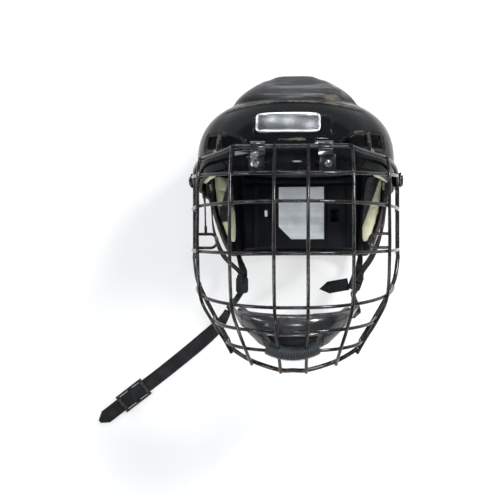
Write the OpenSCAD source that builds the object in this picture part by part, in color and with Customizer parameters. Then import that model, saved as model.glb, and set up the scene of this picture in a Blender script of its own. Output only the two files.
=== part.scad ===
// Ice hockey helmet with a hinged wire face cage, lying on the flat of its back.
// +Z points out of the face, +Y towards the crown and +X to the right in the front view.
// The origin is the middle of the flat that the helmet rests on. Millimetres.

/* [Shell] */
// Width of the shell over the temples
shell_w = 198; // [192:1:202]
// Depth from the resting flat to the forehead
shell_depth = 268; // [262:1:272]
// Height of the crown above the middle of the resting flat
crown_y = 136; // [132:1:142]
// Width of the flat top of the centre ridge
ridge_top_w = 38; // [30:1:46]
// Width over the feet of the centre ridge
ridge_foot_w = 128; // [120:1:134]
// Height of the ridge's feet
ridge_foot_y = 104; // [100:1:108]
// How far the ridge's sides swell over the straight line from foot to top
ridge_swell = 5.5; // [4:0.5:6]
// Squareness of the ridge's flat top, seen from above: 2 is an ellipse
ridge_n = 6; // [4:0.5:7]
// Height at which the shell is widest and deepest
wide_y = 45; // [40:1:48]
// Height of the brow edge
brow_y = 32; // [28:1:34]
// Height of the front shell's edge at the temples
temple_y = 20; // [14:1:22]
// Height of the rear shell's edge at the neck
neck_y = -46; // [-50:1:-40]
// Wall of both shells
wall = 3; // [2.4:0.1:3.4]
// Gap between the front shell and the rear shell that slides inside it
shell_gap = 0.5; // [0.4:0.1:0.8]
// Travel of the size adjustment
size_travel = 20; // [12:1:20]

/* [Vents] */
// Lower edge of the brow vents
vent_low_y = 58; // [56:1:60]
// Height of the brow vents
vent_h = 13; // [10:1:14]

/* [Cage] */
// Gap between the shell's sides and the middles of the cage's side wires
cage_gap = 2.5; // [2.5:0.5:5]
// Depth of the cage in front of its side wires
cage_depth = 130; // [126:1:136]
// Height of the side wires above the floor
cage_back_z = 168; // [164:1:172]
// Height of the hinge bar
hinge_y = 55; // [52:1:58]
// Straight length of the hinge bar
hinge_bar_l = 104; // [98:1:110]
// Diameter of the frame wire
frame_d = 4.2; // [3.6:0.1:4.6]
// Diameter of the grille wires
wire_d = 3.2; // [2.8:0.1:3.6]
// Height of the chin end of the cage
chin_y = -153; // [-158:1:-150]

/* [Pads] */
// Thickness of the rear pads
pad_t = 14; // [10:1:16]
// Thickness of the side pads
side_pad_t = 12; // [9:1:14]
// Thickness of the forehead and temple pads
brow_pad_t = 11; // [8:1:13]

/* [Straps] */
// Width of the webbing
strap_w = 16; // [15:0.5:17]
// Thickness of the webbing
strap_t = 1.4; // [1:0.1:1.6]
// Distance of the slider from the last bend of the loose strap
slider_run = 45; // [40:1:60]
// Straight length of the loose strap past its last bend
strap_run = 95; // [90:1:100]

/* [Fasteners] */
// Diameter of the screws
screw_d = 4; // [3.6:0.1:4.2]
// Diameter of the size adjustment screws' heads
adjust_head_d = 13; // [11:1:15]

/* [Hidden] */

shell_hw = shell_w / 2;
front_core_z = 155;
rear_core_z = 110;
front_edge_z = 104;
rear_edge_z = 150;
front_n = 2.1;
rear_n = 2.4;
dome_n = 2.7;
brow_n = 2.2;
nape_n = 2.6;
rest_cut = 3;
rear_off = wall + shell_gap;
ridge_top_front_z = 172;
ridge_foot_front_z = 236;
ridge_top_rear_z = 70;
ridge_foot_rear_z = 24;
neck_z = 6;
brow_tuck = 4;
neck_tuck = 8;
play = 0.3;
pad_play = 1.1;
rear_play = 1.3;

// Plain vector helpers
function unit(v) = v / norm(v);
function mix(a, b, k) = a + (b - a) * k;
function ease(k) = let(c = max(0, min(1, k))) c * c * (3 - 2 * c);

// Height of an arched profile over its foot, made to pass through one point at share k of its full reach
function arch_rise(foot_h, k, n) = foot_h / pow(1 - pow(k, n), 1 / n);
function arch(h, rise, n) = pow(max(0, 1 - pow(max(0, h) / rise, n)), 1 / n);

dome_rise = arch_rise(ridge_foot_y - wide_y, ridge_foot_w / shell_w, dome_n);
front_reach = shell_depth - front_core_z;
brow_share = (ridge_foot_front_z - front_core_z) / front_reach;
brow_rise = arch_rise(ridge_foot_y - wide_y, brow_share, brow_n);
rear_reach = rear_core_z + rest_cut + rear_off;
nape_share = (rear_core_z - ridge_foot_rear_z) / rear_reach;
nape_rise = arch_rise(ridge_foot_y, nape_share, nape_n);
neck_share = (rear_core_z - neck_z) / rear_reach;
neck_rise = arch_rise(-neck_y, neck_share, nape_n);

// Share of the way from the ridge's foot to its top
function up_ridge(y) = (y - ridge_foot_y) / (crown_y - ridge_foot_y);
function swollen(k) = ridge_swell * 4 * k * (1 - k);

// Half the width of the shell at height y
function half_w(y) =
    y < wide_y ? shell_hw - neck_tuck * pow(max(0, wide_y - y) / (wide_y - neck_y), 2) :
    y < ridge_foot_y ? shell_hw * arch(y - wide_y, dome_rise, dome_n) :
    mix(ridge_foot_w / 2, ridge_top_w / 2, up_ridge(y)) + swollen(up_ridge(y));

// Where the shell ends towards the face at height y
function front_z(y) =
    y < wide_y ? shell_depth - brow_tuck * pow(max(0, wide_y - y) / (wide_y - brow_y), 2) :
    y < ridge_foot_y ? front_core_z + front_reach * arch(y - wide_y, brow_rise, brow_n) :
    mix(ridge_foot_front_z, ridge_top_front_z, up_ridge(y));

// Where the shell ends towards the floor at height y
function rear_z(y) =
    y < 0 ? rear_core_z - rear_reach * arch(-y, neck_rise, nape_n) :
    y < ridge_foot_y ? rear_core_z - rear_reach * arch(y, nape_rise, nape_n) :
    mix(ridge_foot_rear_z, ridge_top_rear_z, up_ridge(y));

// A station is an angle round the head up to 90 degrees, and past 90 a straight run in millimetres
function turn(s) = min(90, abs(s));
function run(s) = max(0, abs(s) - 90);
function side_of(s) = s < 0 ? -1 : 1;
function front_square(y) = mix(front_n, ridge_n, max(0, up_ridge(y)));
function front_point(s, y) = [
    side_of(s) * half_w(y) * pow(sin(turn(s)), 2 / front_square(y)),
    y,
    mix(front_core_z, front_z(y), pow(cos(turn(s)), 2 / front_square(y))) - run(s)];
function rear_point(s, y) = [
    side_of(s) * half_w(y) * pow(sin(turn(s)), 2 / rear_n),
    y,
    mix(rear_core_z, rear_z(y), pow(cos(turn(s)), 2 / rear_n)) + run(s)];

// A point of the front or rear skin, moved inwards by an offset along the skin's normal
step = 0.5;
function front_in(s, y, off) =
    let(across = front_point(s + step, y) - front_point(s - step, y))
    let(up = front_point(s, y + step) - front_point(s, y - step))
    front_point(s, y) - off * unit(cross(across, up));
function rear_in(s, y, off) =
    let(across = rear_point(s + step, y) - rear_point(s - step, y))
    let(up = rear_point(s, y + step) - rear_point(s, y - step))
    rear_point(s, y) + off * unit(cross(across, up));

// Faces of a wall between two equal grids of points, outer grid first, with cells left out as holes
function left_out(holes, i, j) =
    len([for (h = holes) if (i >= h[0] && i < h[1] && j >= h[2] && j < h[3]) 1]) > 0;
function on_grid(nc, nr, holes, i, j) =
    i >= 0 && j >= 0 && i < nc && j < nr && !left_out(holes, i, j);
function rim(p, q, inner) = [[p, q, q + inner], [p, q + inner, p + inner]];
function wall_faces(nc, nr, holes = [], capped = false) =
    let(w = nc + 1)
    let(inner = w * (nr + 1))
    [for (j = [0:nr - 1]) for (i = [0:nc - 1]) if (on_grid(nc, nr, holes, i, j))
        let(a = j * w + i)
        let(b = a + 1)
        let(c = b + w)
        let(d = a + w)
        each concat(
            [[a, d, c], [a, c, b], [a + inner, c + inner, d + inner], [a + inner, b + inner, c + inner]],
            on_grid(nc, nr, holes, i, j - 1) ? [] : rim(a, b, inner),
            on_grid(nc, nr, holes, i + 1, j) ? [] : rim(b, c, inner),
            on_grid(nc, nr, holes, i, j + 1) || (capped && j == nr - 1) ? [] : rim(c, d, inner),
            on_grid(nc, nr, holes, i - 1, j) ? [] : rim(d, a, inner))];
// The cap joins the left and right halves of the top row across the crown
function cap_faces(nc, nr) =
    let(w = nc + 1)
    let(inner = w * (nr + 1))
    let(top = nr * w)
    concat(rim(top + nc, top, inner),
        [for (k = [0:nc / 2 - 1])
            let(l0 = top + k)
            let(l1 = l0 + 1)
            let(r0 = top + nc - k)
            let(r1 = r0 - 1)
            each concat(
                [[l1, l0, r0], [l1 + inner, r0 + inner, l0 + inner]],
                l1 == r1 ? [] : [[l1, r0, r1], [l1 + inner, r1 + inner, r0 + inner]])]);
function turned(faces) = [for (f = faces) [f[0], f[2], f[1]]];

// Straight wires and webbing follow smooth curves through a few stations
function curve_point(a, b, c, d, k) =
    0.5 * (2 * b + (c - a) * k + (2 * a - 5 * b + 4 * c - d) * k * k + (3 * b - a - 3 * c + d) * k * k * k);
function smooth(pts, n) =
    let(last = len(pts) - 1)
    concat([for (i = [0:last - 1]) for (k = [0:n - 1])
        curve_point(pts[max(0, i - 1)], pts[i], pts[i + 1], pts[min(last, i + 2)], k / n)], [pts[last]]);
function heading(pts, i) = unit(pts[min(len(pts) - 1, i + 1)] - pts[max(0, i - 1)]);
function square_to(v, t) = unit(v - (v * t) * t);
function carried(pts, v, i = 0, out = []) =
    i == len(pts) ? out :
    let(u = square_to(v, heading(pts, i)))
    carried(pts, u, i + 1, concat(out, [u]));
function tube_points(pts, start, r, sides) =
    let(us = carried(pts, start))
    [for (i = [0:len(pts) - 1])
        let(v = cross(heading(pts, i), us[i]))
        for (k = [0:sides - 1]) pts[i] + r * (cos(k * 360 / sides) * us[i] + sin(k * 360 / sides) * v)];
function tube_faces(rings, sides) =
    concat(
        [[for (k = [0:sides - 1]) k]],
        [for (i = [0:rings - 2]) for (k = [0:sides - 1])
            let(a = i * sides + k)
            let(b = i * sides + (k + 1) % sides)
            each [[a, a + sides, b + sides], [a, b + sides, b]]],
        [[for (k = [sides - 1:-1:0]) (rings - 1) * sides + k]]);

module tube(pts, start, r, sides = 8) {
    polyhedron(tube_points(pts, start, r, sides), tube_faces(len(pts), sides), convexity = 6);
}

// Webbing: the same sweep with a flat section of width w, or w[i], which lies along wides[i]
function ribbon_points(pts, wides, w, t) =
    [for (i = [0:len(pts) - 1])
        let(u = square_to(wides[i], heading(pts, i)))
        let(v = cross(heading(pts, i), u) * t / 2)
        let(half = u * (is_list(w) ? w[i] : w) / 2)
        each [pts[i] + half + v, pts[i] - half + v, pts[i] - half - v, pts[i] + half - v]];

module ribbon(pts, wides, w, t) {
    polyhedron(ribbon_points(pts, wides, w, t), tube_faces(len(pts), 4), convexity = 6);
}

// Stations and heights of the front shell's grid, with the vents and screws on grid lines
vent_top_y = vent_low_y + vent_h;
vent_in = 27;
vent_mid = 46;
pillar = 50;
vent_out = 60;
screw_y = 30;
screw_z = 122;
screw_half = screw_d / 2 + play;
screw_run_0 = front_core_z - screw_z - screw_half;
screw_run_1 = front_core_z - screw_z + screw_half;
front_half = [0, 9, 18, vent_in, 33, 39, vent_mid, pillar, vent_out, 66, 73, 81,
    90, 90 + screw_run_0, 90 + screw_run_1, 90 + front_core_z - front_edge_z];
front_s = concat([for (k = [len(front_half) - 1:-1:1]) -front_half[k]], front_half);
front_cols = len(front_s) - 1;
front_mid = front_cols / 2;

function front_edge_y(s) = mix(brow_y, temple_y, ease((abs(s) - 55) / 35));
front_fixed = [wide_y + 4, vent_low_y, vent_top_y, 77, 86, 95, ridge_foot_y, 112, 120, 128, crown_y];
// Four rows lie between the edge and the first whole row, and meet the screw holes at the sides
edge_shares = [0, 0.25, 0.45, 0.7];
side_rows = [temple_y, screw_y - screw_half, screw_y + screw_half, 40];
front_edge_rows = len(side_rows);
front_rows = front_edge_rows + len(front_fixed) - 1;
function front_row_y(s, j) =
    j >= front_edge_rows ? front_fixed[j - front_edge_rows] :
    abs(s) > 85 ? side_rows[j] :
    mix(front_edge_y(s), front_fixed[0], edge_shares[j]);
function station(list, s) = search(s, list)[0];

// Lofted pads and shells share this: two grids of points and the wall between them
module skin(outer, inner, nc, nr, holes = [], capped = false, flip = false) {
    faces = concat(wall_faces(nc, nr, holes, capped), capped ? cap_faces(nc, nr) : []);
    polyhedron(concat(outer, inner), flip ? turned(faces) : faces, convexity = 10);
}

vent_row = front_edge_rows + 1;
function vent_cells(s0, s1) = [
    [front_mid + station(front_half, s0), front_mid + station(front_half, s1), vent_row, vent_row + 1],
    [front_mid - station(front_half, s1), front_mid - station(front_half, s0), vent_row, vent_row + 1]];
screw_col = station(front_half, 90 + screw_run_0);
front_holes = concat(
    vent_cells(vent_in, vent_mid),
    vent_cells(pillar, vent_out),
    [[front_mid + screw_col, front_mid + screw_col + 1, 1, 2],
    [front_mid - screw_col - 1, front_mid - screw_col, 1, 2]]);

function front_grid(off) =
    [for (j = [0:front_rows]) for (s = front_s) front_in(s, front_row_y(s, j), off)];

module front_shell() {
    color([0.03, 0.03, 0.035])
        skin(front_grid(0), front_grid(wall), front_cols, front_rows, front_holes, true);
}

// The rear shell slides inside the front one, with slots for the size adjustment screws
slot_run_0 = screw_z - screw_half - rear_core_z;
slot_run_1 = screw_z + screw_half + size_travel - rear_core_z;
rear_half = [0, 8, 16, 24, 32, 40, 48, 56, 64, 72, 81, 90, 90 + slot_run_0, 90 + slot_run_1,
    90 + rear_edge_z - rear_core_z];
rear_s = concat([for (k = [len(rear_half) - 1:-1:1]) -rear_half[k]], rear_half);
rear_cols = len(rear_s) - 1;
rear_mid = rear_cols / 2;
ear_y = 15;
rear_fixed = [44, 54, 66, 78, 90, ridge_foot_y, 116, 126, crown_y];
slot_rows = [ear_y, 20, screw_y - screw_half, screw_y + screw_half, 36, 40];
rear_edge_rows = len(slot_rows);
rear_rows = rear_edge_rows + len(rear_fixed) - 1;
function rear_edge_y(s) = mix(neck_y, ear_y, ease((abs(s) - 54) / 36));
function rear_row_y(s, j) =
    j >= rear_edge_rows ? rear_fixed[j - rear_edge_rows] :
    abs(s) > 85 ? slot_rows[j] :
    mix(rear_edge_y(s), rear_fixed[0], j / rear_edge_rows);
slot_col = station(rear_half, 90 + slot_run_0);
slot_row = 2;
rear_vent_row = rear_edge_rows + 2;
rear_holes = [
    [rear_mid + slot_col, rear_mid + slot_col + 1, slot_row, slot_row + 1],
    [rear_mid - slot_col - 1, rear_mid - slot_col, slot_row, slot_row + 1],
    [rear_mid + 2, rear_mid + 4, rear_vent_row, rear_vent_row + 1],
    [rear_mid - 4, rear_mid - 2, rear_vent_row, rear_vent_row + 1],
    [rear_mid + 5, rear_mid + 7, rear_vent_row - 1, rear_vent_row],
    [rear_mid - 7, rear_mid - 5, rear_vent_row - 1, rear_vent_row]];
function floored(p, z) = [p[0], p[1], max(p[2], z)];
// The rear skin is pushed out by its offset, so that the flat it rests on stays at the floor
function rear_grid(off, z) =
    [for (j = [0:rear_rows]) for (s = rear_s) floored(rear_in(s, rear_row_y(s, j), off), z)];

module rear_shell() {
    color([0.035, 0.035, 0.04])
        skin(rear_grid(rear_off, 0), rear_grid(rear_off + wall, wall), rear_cols, rear_rows,
            rear_holes, true, true);
}

// Pads are swollen in the middle and drawn in at their edges
function swell(i, j, nc, nr) =
    (1 - pow(2 * i / nc - 1, 4)) * (1 - pow(2 * j / nr - 1, 4));
edge_share = 0.55;
function pad_depth(t, i, j, nc, nr) = t * mix(edge_share, 1, swell(i, j, nc, nr));
module front_pad(s0, s1, y0, y1, off, t, nc, nr, holes = []) {
    outer = [for (j = [0:nr]) for (i = [0:nc]) front_in(mix(s0, s1, i / nc), mix(y0, y1, j / nr), off)];
    inner = [for (j = [0:nr]) for (i = [0:nc])
        front_in(mix(s0, s1, i / nc), mix(y0, y1, j / nr), off + pad_depth(t, i, j, nc, nr))];
    skin(outer, inner, nc, nr, holes);
}
module rear_pad_body(s0, s1, y0, y1, off, t, nc, nr, holes = []) {
    outer = [for (j = [0:nr]) for (i = [0:nc])
        floored(rear_in(mix(s0, s1, i / nc), mix(y0, y1, j / nr), off), wall + pad_play)];
    inner = [for (j = [0:nr]) for (i = [0:nc])
        floored(rear_in(mix(s0, s1, i / nc), mix(y0, y1, j / nr), off + pad_depth(t, i, j, nc, nr)),
            wall + pad_play + pad_depth(t, i, j, nc, nr))];
    skin(outer, inner, nc, nr, holes, false, true);
}

function skin_patch(s0, s1, y0, y1, off, nc, nr) =
    [for (j = [0:nr]) for (i = [0:nc]) front_in(mix(s0, s1, i / nc), mix(y0, y1, j / nr), off)];

front_pad_off = wall + pad_play;
rear_pad_off = rear_off + wall + rear_play;
brow_pad_top = vent_low_y - 2;
temple_pad_low = temple_y + 8;
crown_pad_low = vent_top_y + 6;
side_pad_low = -32;
side_pad_rise = 7;
side_pad_top = 42;
rear_crown_low = 58;

module forehead_pad() {
    color([0.05, 0.05, 0.055])
        front_pad(-52, 52, brow_y + 4, brow_pad_top, front_pad_off, brow_pad_t, 16, 4);
}
module temple_pad() {
    color([0.85, 0.83, 0.7])
        front_pad(58, 88, temple_pad_low, brow_pad_top, front_pad_off, brow_pad_t, 8, 5);
}
module left_temple_pad() { mirror([1, 0, 0]) temple_pad(); }
module right_temple_pad() { temple_pad(); }
module crown_pad() {
    color([0.05, 0.05, 0.055])
        front_pad(-30, 30, crown_pad_low, ridge_foot_y, front_pad_off, brow_pad_t, 10, 5);
}
rear_pad_s = 46;
rear_pad_low = neck_y + 4;
rear_pad_top = 46;
module rear_pad() {
    color([0.03, 0.035, 0.05])
        rear_pad_body(-rear_pad_s, rear_pad_s, rear_pad_low, rear_pad_top, rear_pad_off, pad_t, 16, 8,
            [[4, 5, 3, 4], [11, 12, 3, 4]]);
}
// The side pads follow the rising edge of the rear shell
function side_pad_y(s, k) = mix(max(side_pad_low, rear_edge_y(s) + side_pad_rise), side_pad_top, k);
function side_pad_grid(nc, nr, k) =
    [for (j = [0:nr]) for (i = [0:nc]) let(s = mix(58, 80, i / nc))
        rear_in(s, side_pad_y(s, j / nr), rear_pad_off + k * pad_depth(side_pad_t, i, j, nc, nr))];
module side_pad() {
    nc = 8;
    nr = 10;
    color([0.85, 0.83, 0.7])
        skin(side_pad_grid(nc, nr, 0), side_pad_grid(nc, nr, 1), nc, nr, [], false, true);
}
module left_side_pad() { mirror([1, 0, 0]) side_pad(); }
module right_side_pad() { side_pad(); }
module rear_crown_pad() {
    color([0.05, 0.05, 0.055])
        rear_pad_body(-40, 40, rear_crown_low, ridge_foot_y, rear_pad_off, pad_t, 10, 6);
}

// Blank nameplate on the forehead and blank patch on the rear pad
badge_w = 60;
badge_h = 19;
badge_x = -4;
badge_y = 78.5;
badge_t = 1.6;
badge_gap = 0.2;
function badge_station(x) = side_of(x) * asin(pow(abs(x) / half_w(badge_y), front_n / 2));
module badge_plate() {
    nc = 12;
    nr = 4;
    s0 = badge_station(badge_x - badge_w / 2);
    s1 = badge_station(badge_x + badge_w / 2);
    low = badge_y - badge_h / 2;
    color([0.8, 0.8, 0.82]) skin(skin_patch(s0, s1, low, low + badge_h, -badge_t, nc, nr),
        skin_patch(s0, s1, low, low + badge_h, -badge_gap, nc, nr), nc, nr);
}
patch_w = 51;
patch_h = 59;
patch_x = 2;
patch_cut = 14;
patch_low = -25.5;
patch_cells = 8;
patch_t = 0.8;
patch_gap = 0.5;
// A point just over the face of the rear pad, at distance x from the middle and height y
function on_rear_pad(x, y, out) =
    let(s = side_of(x) * asin(pow(abs(x) / (shell_hw - rear_pad_off - pad_t), rear_n / 2)))
    let(i = (s + rear_pad_s) / (2 * rear_pad_s))
    let(j = (y - rear_pad_low) / (rear_pad_top - rear_pad_low))
    let(depth = pad_depth(pad_t, i, j, 1, 1) + out)
    floored(rear_in(s, y, rear_pad_off + depth), wall + pad_play + depth);
function patch_left(y) = patch_x - patch_w / 2 + max(0, patch_low + patch_cut - y);
function patch_grid(out, nc, nr) =
    [for (j = [0:nr]) let(y = patch_low + patch_h * j / nr) for (i = [0:nc])
        on_rear_pad(mix(patch_left(y), patch_x + patch_w / 2, i / nc), y, out)];
module label_patch() {
    color([0.62, 0.62, 0.62]) skin(patch_grid(patch_gap, patch_cells, patch_cells),
        patch_grid(patch_gap + patch_t, patch_cells, patch_cells),
        patch_cells, patch_cells, [], false, true);
}

// The cage: a hinge bar, a frame wire, six uprights and six crossbars on one bowed surface
half_cage = shell_hw + cage_gap;
cage_front_z = cage_back_z + cage_depth;
hinge_z = shell_depth + 9;
cage_n = 2.3;
frame_r = frame_d / 2;
wire_r = wire_d / 2;
// Crossbars from the brow down: height and half width and depth at the ends, height and depth in the middle
bars = [
    [33, half_cage - 1, cage_back_z + 12, 30, hinge_z + 11],
    [0, half_cage, cage_back_z, 4, cage_front_z - 3],
    [-38, half_cage, cage_back_z, -43, cage_front_z],
    [-73, half_cage - 5, cage_back_z + 8, -92, cage_front_z - 5],
    [-104, half_cage - 23, cage_back_z + 30, -114, cage_front_z - 16],
    [-125, half_cage - 37, cage_back_z + 47, -133, cage_front_z - 34]];
function bar_point(b, a) = let(c = pow(cos(a), 2 / cage_n))
    [side_of(a) * b[1] * pow(sin(abs(a)), 2 / cage_n), mix(b[0], b[3], c), mix(b[2], b[4], c)];
// The point of a crossbar at a given distance from the middle
function bar_at(b, x) = let(c = pow(max(0, 1 - pow(abs(x) / b[1], cage_n)), 1 / cage_n))
    [x, mix(b[0], b[3], c), mix(b[2], b[4], c)];
bar_steps = 20;
function bar_path(b) = [for (k = [0:bar_steps]) bar_point(b, mix(-90, 90, k / bar_steps))];

module crossbar(k) {
    color([0.12, 0.11, 0.1]) tube(bar_path(bars[k]), [0, 1, 0], wire_r);
}

// Half of the frame wire, from the middle of the chin up to the end of the hinge bar
chin_z = cage_front_z - 59;
shoulder_z = cage_back_z + 66;
frame_half = [
    [0, chin_y, chin_z],
    [14, chin_y + 0.5, chin_z],
    [40, chin_y + 8, chin_z - 10],
    [60, chin_y + 19, chin_z - 22],
    [bars[5][1], bars[5][0], bars[5][2]],
    [bars[4][1], bars[4][0], bars[4][2]],
    [bars[3][1], bars[3][0], bars[3][2]],
    [half_cage, -50, cage_back_z],
    [half_cage, bars[2][0], cage_back_z],
    [half_cage, bars[1][0], cage_back_z],
    [half_cage, 22, cage_back_z],
    [bars[0][1], bars[0][0], bars[0][2]],
    [half_cage - 5, 42, cage_back_z + 34],
    [half_cage - 15, 47, shoulder_z],
    [half_cage - 36, 51, hinge_z - 14],
    [hinge_bar_l / 2, hinge_y, hinge_z]];
function mirrored(pts) = [for (p = pts) [-p[0], p[1], p[2]]];
function tail(pts) = [for (k = [1:len(pts) - 1]) pts[k]];
function backwards(pts) = [for (k = [len(pts) - 1:-1:0]) pts[k]];
frame_path = smooth(concat(backwards(mirrored(tail(frame_half))), frame_half), 2);

module cage_frame() {
    color([0.1, 0.1, 0.1]) tube(frame_path, [0, 0, 1], frame_r);
}
module hinge_bar() {
    color([0.1, 0.1, 0.1])
        translate([-hinge_bar_l / 2, hinge_y, hinge_z])
            rotate([0, 90, 0]) cylinder(h = hinge_bar_l, r = frame_r, $fn = 48);
}

// Uprights from left to right: half distance at the top, on the straight part and at the chin
upright_x = [[86, 88, 60], [52, 55, 40], [15, 15, 12]];
outset = wire_d * 0.92;
hook_l = 2.5;
function outwards(p) = p + outset * unit([p[0], 0, p[2] - cage_back_z]);
// How far an upright has moved in towards the middle at each crossbar
draw_in = [0, 0, 0, 0.08, 0.42, 0.8];
function upright_pts(x, top) = concat(
    [top],
    [for (k = [0:len(bars) - 1]) outwards(bar_at(bars[k], mix(x[1], x[2], draw_in[k])))],
    [[x[2], chin_y + 9 * pow(x[2] / 44, 2) - hook_l, chin_z - 12 * pow(x[2] / 44, 2) + outset]]);
// The second upright is welded to the frame just beside the end of the hinge bar
beside_bar = wire_r;
upright_top = [
    outwards([half_cage - 15, 48, shoulder_z]),
    outwards([hinge_bar_l / 2 + beside_bar, hinge_y + 1, hinge_z - beside_bar]),
    outwards([15, hinge_y + 1, hinge_z])];
module upright(k, side) {
    path = smooth(upright_pts(upright_x[k], upright_top[k]), 3);
    color([0.12, 0.11, 0.1]) tube(side < 0 ? mirrored(path) : path, [1, 0, 0], wire_r);
}

// Wire eyes on the outer uprights, that the side straps hook on to
eye_y = -31;
eye_r = 6.5;
eye_x = upright_x[0][1] - 10;
eye_weld = outwards(bar_at(bars[2], upright_x[0][1]));
eye_z = eye_weld[2];
module cage_eye(side) {
    weld_x = eye_weld[0] - 1;
    pts = concat([[weld_x, eye_y + eye_r, eye_z]],
        [for (a = [60:30:300]) [eye_x + eye_r * cos(a), eye_y + eye_r * sin(a), eye_z]],
        [[weld_x, eye_y - eye_r, eye_z]]);
    color([0.14, 0.13, 0.12]) tube(side < 0 ? mirrored(pts) : pts, [0, 0, 1], wire_r - 0.2);
}

// Clips that carry the hinge bar on the forehead: a foot that follows the shell and an arm with the bore
clip_w = 14;
clip_x = 31;
clip_r = 4.8;
clip_foot_y = brow_y + 3;
clip_foot_t = 6;
arm_z = front_point(station_at(clip_x - clip_w / 2), wide_y)[2] + play;
// The station of the skin at the widest height that lies at distance x from the middle
function station_at(x) = asin(pow(x / shell_hw, front_n / 2));
module brow_clip(side) {
    s0 = station_at(clip_x - clip_w / 2);
    s1 = station_at(clip_x + clip_w / 2);
    color([0.2, 0.2, 0.21]) mirror([side < 0 ? 1 : 0, 0, 0]) difference() {
        union() {
            skin(skin_patch(s0, s1, clip_foot_y, hinge_y - clip_r, -play - clip_foot_t, 4, 2),
                skin_patch(s0, s1, clip_foot_y, hinge_y - clip_r, -play, 4, 2), 4, 2);
            translate([clip_x - clip_w / 2 + 0.2, 0, 0]) rotate([90, 0, 90])
                linear_extrude(clip_w - 0.4) union() {
                    translate([hinge_y, hinge_z]) circle(r = clip_r, $fn = 48);
                    translate([hinge_y - clip_r - 3, arm_z]) square([clip_r + 3, hinge_z - arm_z]);
                }
        }
        translate([0, hinge_y, hinge_z]) rotate([0, 90, 0])
            cylinder(h = shell_w, r = frame_r + 0.08, $fn = 48);
    }
}
// Places its children on the front skin at station s and height y, standing along the skin's normal
module on_skin(s, y, out) {
    n = unit(front_in(s, y, -1) - front_in(s, y, 0));
    translate(front_in(s, y, -out)) rotate([0, acos(n[2]), atan2(n[1], n[0])]) children();
}
module brow_clip_screws() {
    color([0.35, 0.35, 0.36]) for (side = [-1, 1])
        on_skin(side * station_at(clip_x), clip_foot_y + 6, play + clip_foot_t + 0.05)
            cylinder(h = 1.8, r1 = screw_d * 0.9, r2 = screw_d * 0.7, $fn = 40);
}

// Clips at the temples, channels that the side wires drop into
side_clip_y = 24;
side_clip_h = 14;
side_clip_lip = 1.6;
side_clip_over = 3;
side_clip_screw_drop = 15;
side_clip_out = half_cage + frame_r + play + side_clip_lip;
side_clip_in = half_w(side_clip_y + side_clip_h) + play;
side_clip_back = cage_back_z - frame_r - play;
side_clip_foot = 22;
side_clip_t = 2.2;
module side_clip(side) {
    color([0.06, 0.06, 0.065]) mirror([side < 0 ? 1 : 0, 0, 0])
        translate([0, side_clip_y + side_clip_h, 0]) rotate([90, 0, 0]) linear_extrude(side_clip_h)
            polygon([[side_clip_in, side_clip_back - side_clip_foot],
                [side_clip_in + side_clip_t, side_clip_back - side_clip_foot],
                [side_clip_in + side_clip_t, side_clip_back - 8],
                [side_clip_out, side_clip_back - 4],
                [side_clip_out, cage_back_z + side_clip_over],
                [side_clip_out - side_clip_lip, cage_back_z + side_clip_over],
                [side_clip_out - side_clip_lip, side_clip_back],
                [side_clip_in, side_clip_back]]);
}
module side_clip_screws() {
    x = side_clip_in + side_clip_t + 0.05;
    y = side_clip_y + side_clip_h / 2;
    color([0.3, 0.3, 0.31]) for (side = [-1, 1])
        translate([side * x, y, side_clip_back - side_clip_screw_drop])
            rotate([0, side * 90, 0]) cylinder(h = 1.6, r = screw_d * 0.8, $fn = 40);
}

// Size adjustment screws and their square nuts
shank_l = rear_off + wall + 1.6;
module adjust_screws() {
    color([0.3, 0.3, 0.31]) for (side = [-1, 1])
        mirror([side < 0 ? 1 : 0, 0, 0]) translate([half_w(screw_y) + play, screw_y, screw_z])
            rotate([0, 90, 0]) union() {
                cylinder(h = 2.6, r = adjust_head_d / 2, $fn = 48);
                translate([0, 0, -shank_l]) cylinder(h = shank_l + 0.1, r = screw_d / 2, $fn = 40);
            }
}
module adjust_nuts() {
    color([0.55, 0.55, 0.56]) for (side = [-1, 1])
        mirror([side < 0 ? 1 : 0, 0, 0])
            translate([half_w(screw_y) - rear_off - wall - 0.6, screw_y, screw_z])
                rotate([0, -90, 0]) difference() {
                    cylinder(h = 3, r = 6.5, $fn = 48);
                    translate([0, 0, -1]) cylinder(h = 5, r = screw_d / 2 + 0.05, $fn = 40);
                }
}
module vent_screws() {
    color([0.35, 0.35, 0.36]) for (side = [-1, 1])
        on_skin(side * (vent_mid + pillar) / 2, vent_low_y - 4, 0.1)
            cylinder(h = 1.2, r = screw_d * 0.6, $fn = 32);
}

// Chin cup inside the chin end of the cage, its pad and its ribbed lip round the lowest crossbar
// A row's height, its half width, and how far its ends and its middle lie behind the front of the cage
cup_shape = [[-140, 16, 62, 45.5], [-136, 26, 66, 41.5], [-131, 36, 72, 39.7], [-118.5, 49, 82, 37.5],
    [-112, 54, 88, 37], [-106, 58, 94, 37], [-99.5, 62, 100, 38]];
cup_rows = [for (row = cup_shape) [row[0], row[1], cage_front_z - row[2], cage_front_z - row[3]]];
cup_cols = 16;
cup_smile = 6;
cup_n = 2.2;
cup_wall = 3;
function cup_point(row, a, off) = let(c = pow(cos(a), 2 / cup_n))
    [side_of(a) * (row[1] - off) * pow(sin(abs(a)), 2 / cup_n),
        row[0] + (1 - c) * cup_smile,
        mix(row[2], row[3] - off, c)];
function cup_grid(r0, off) =
    [for (j = [r0:len(cup_rows) - 1]) for (i = [0:cup_cols])
        cup_point(cup_rows[j], mix(-90, 90, i / cup_cols), off)];
module chin_cup() {
    color([0.1, 0.1, 0.11])
        skin(cup_grid(0, 0), cup_grid(0, cup_wall), cup_cols, len(cup_rows) - 1, [[5, 11, 2, 3]]);
}
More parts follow.
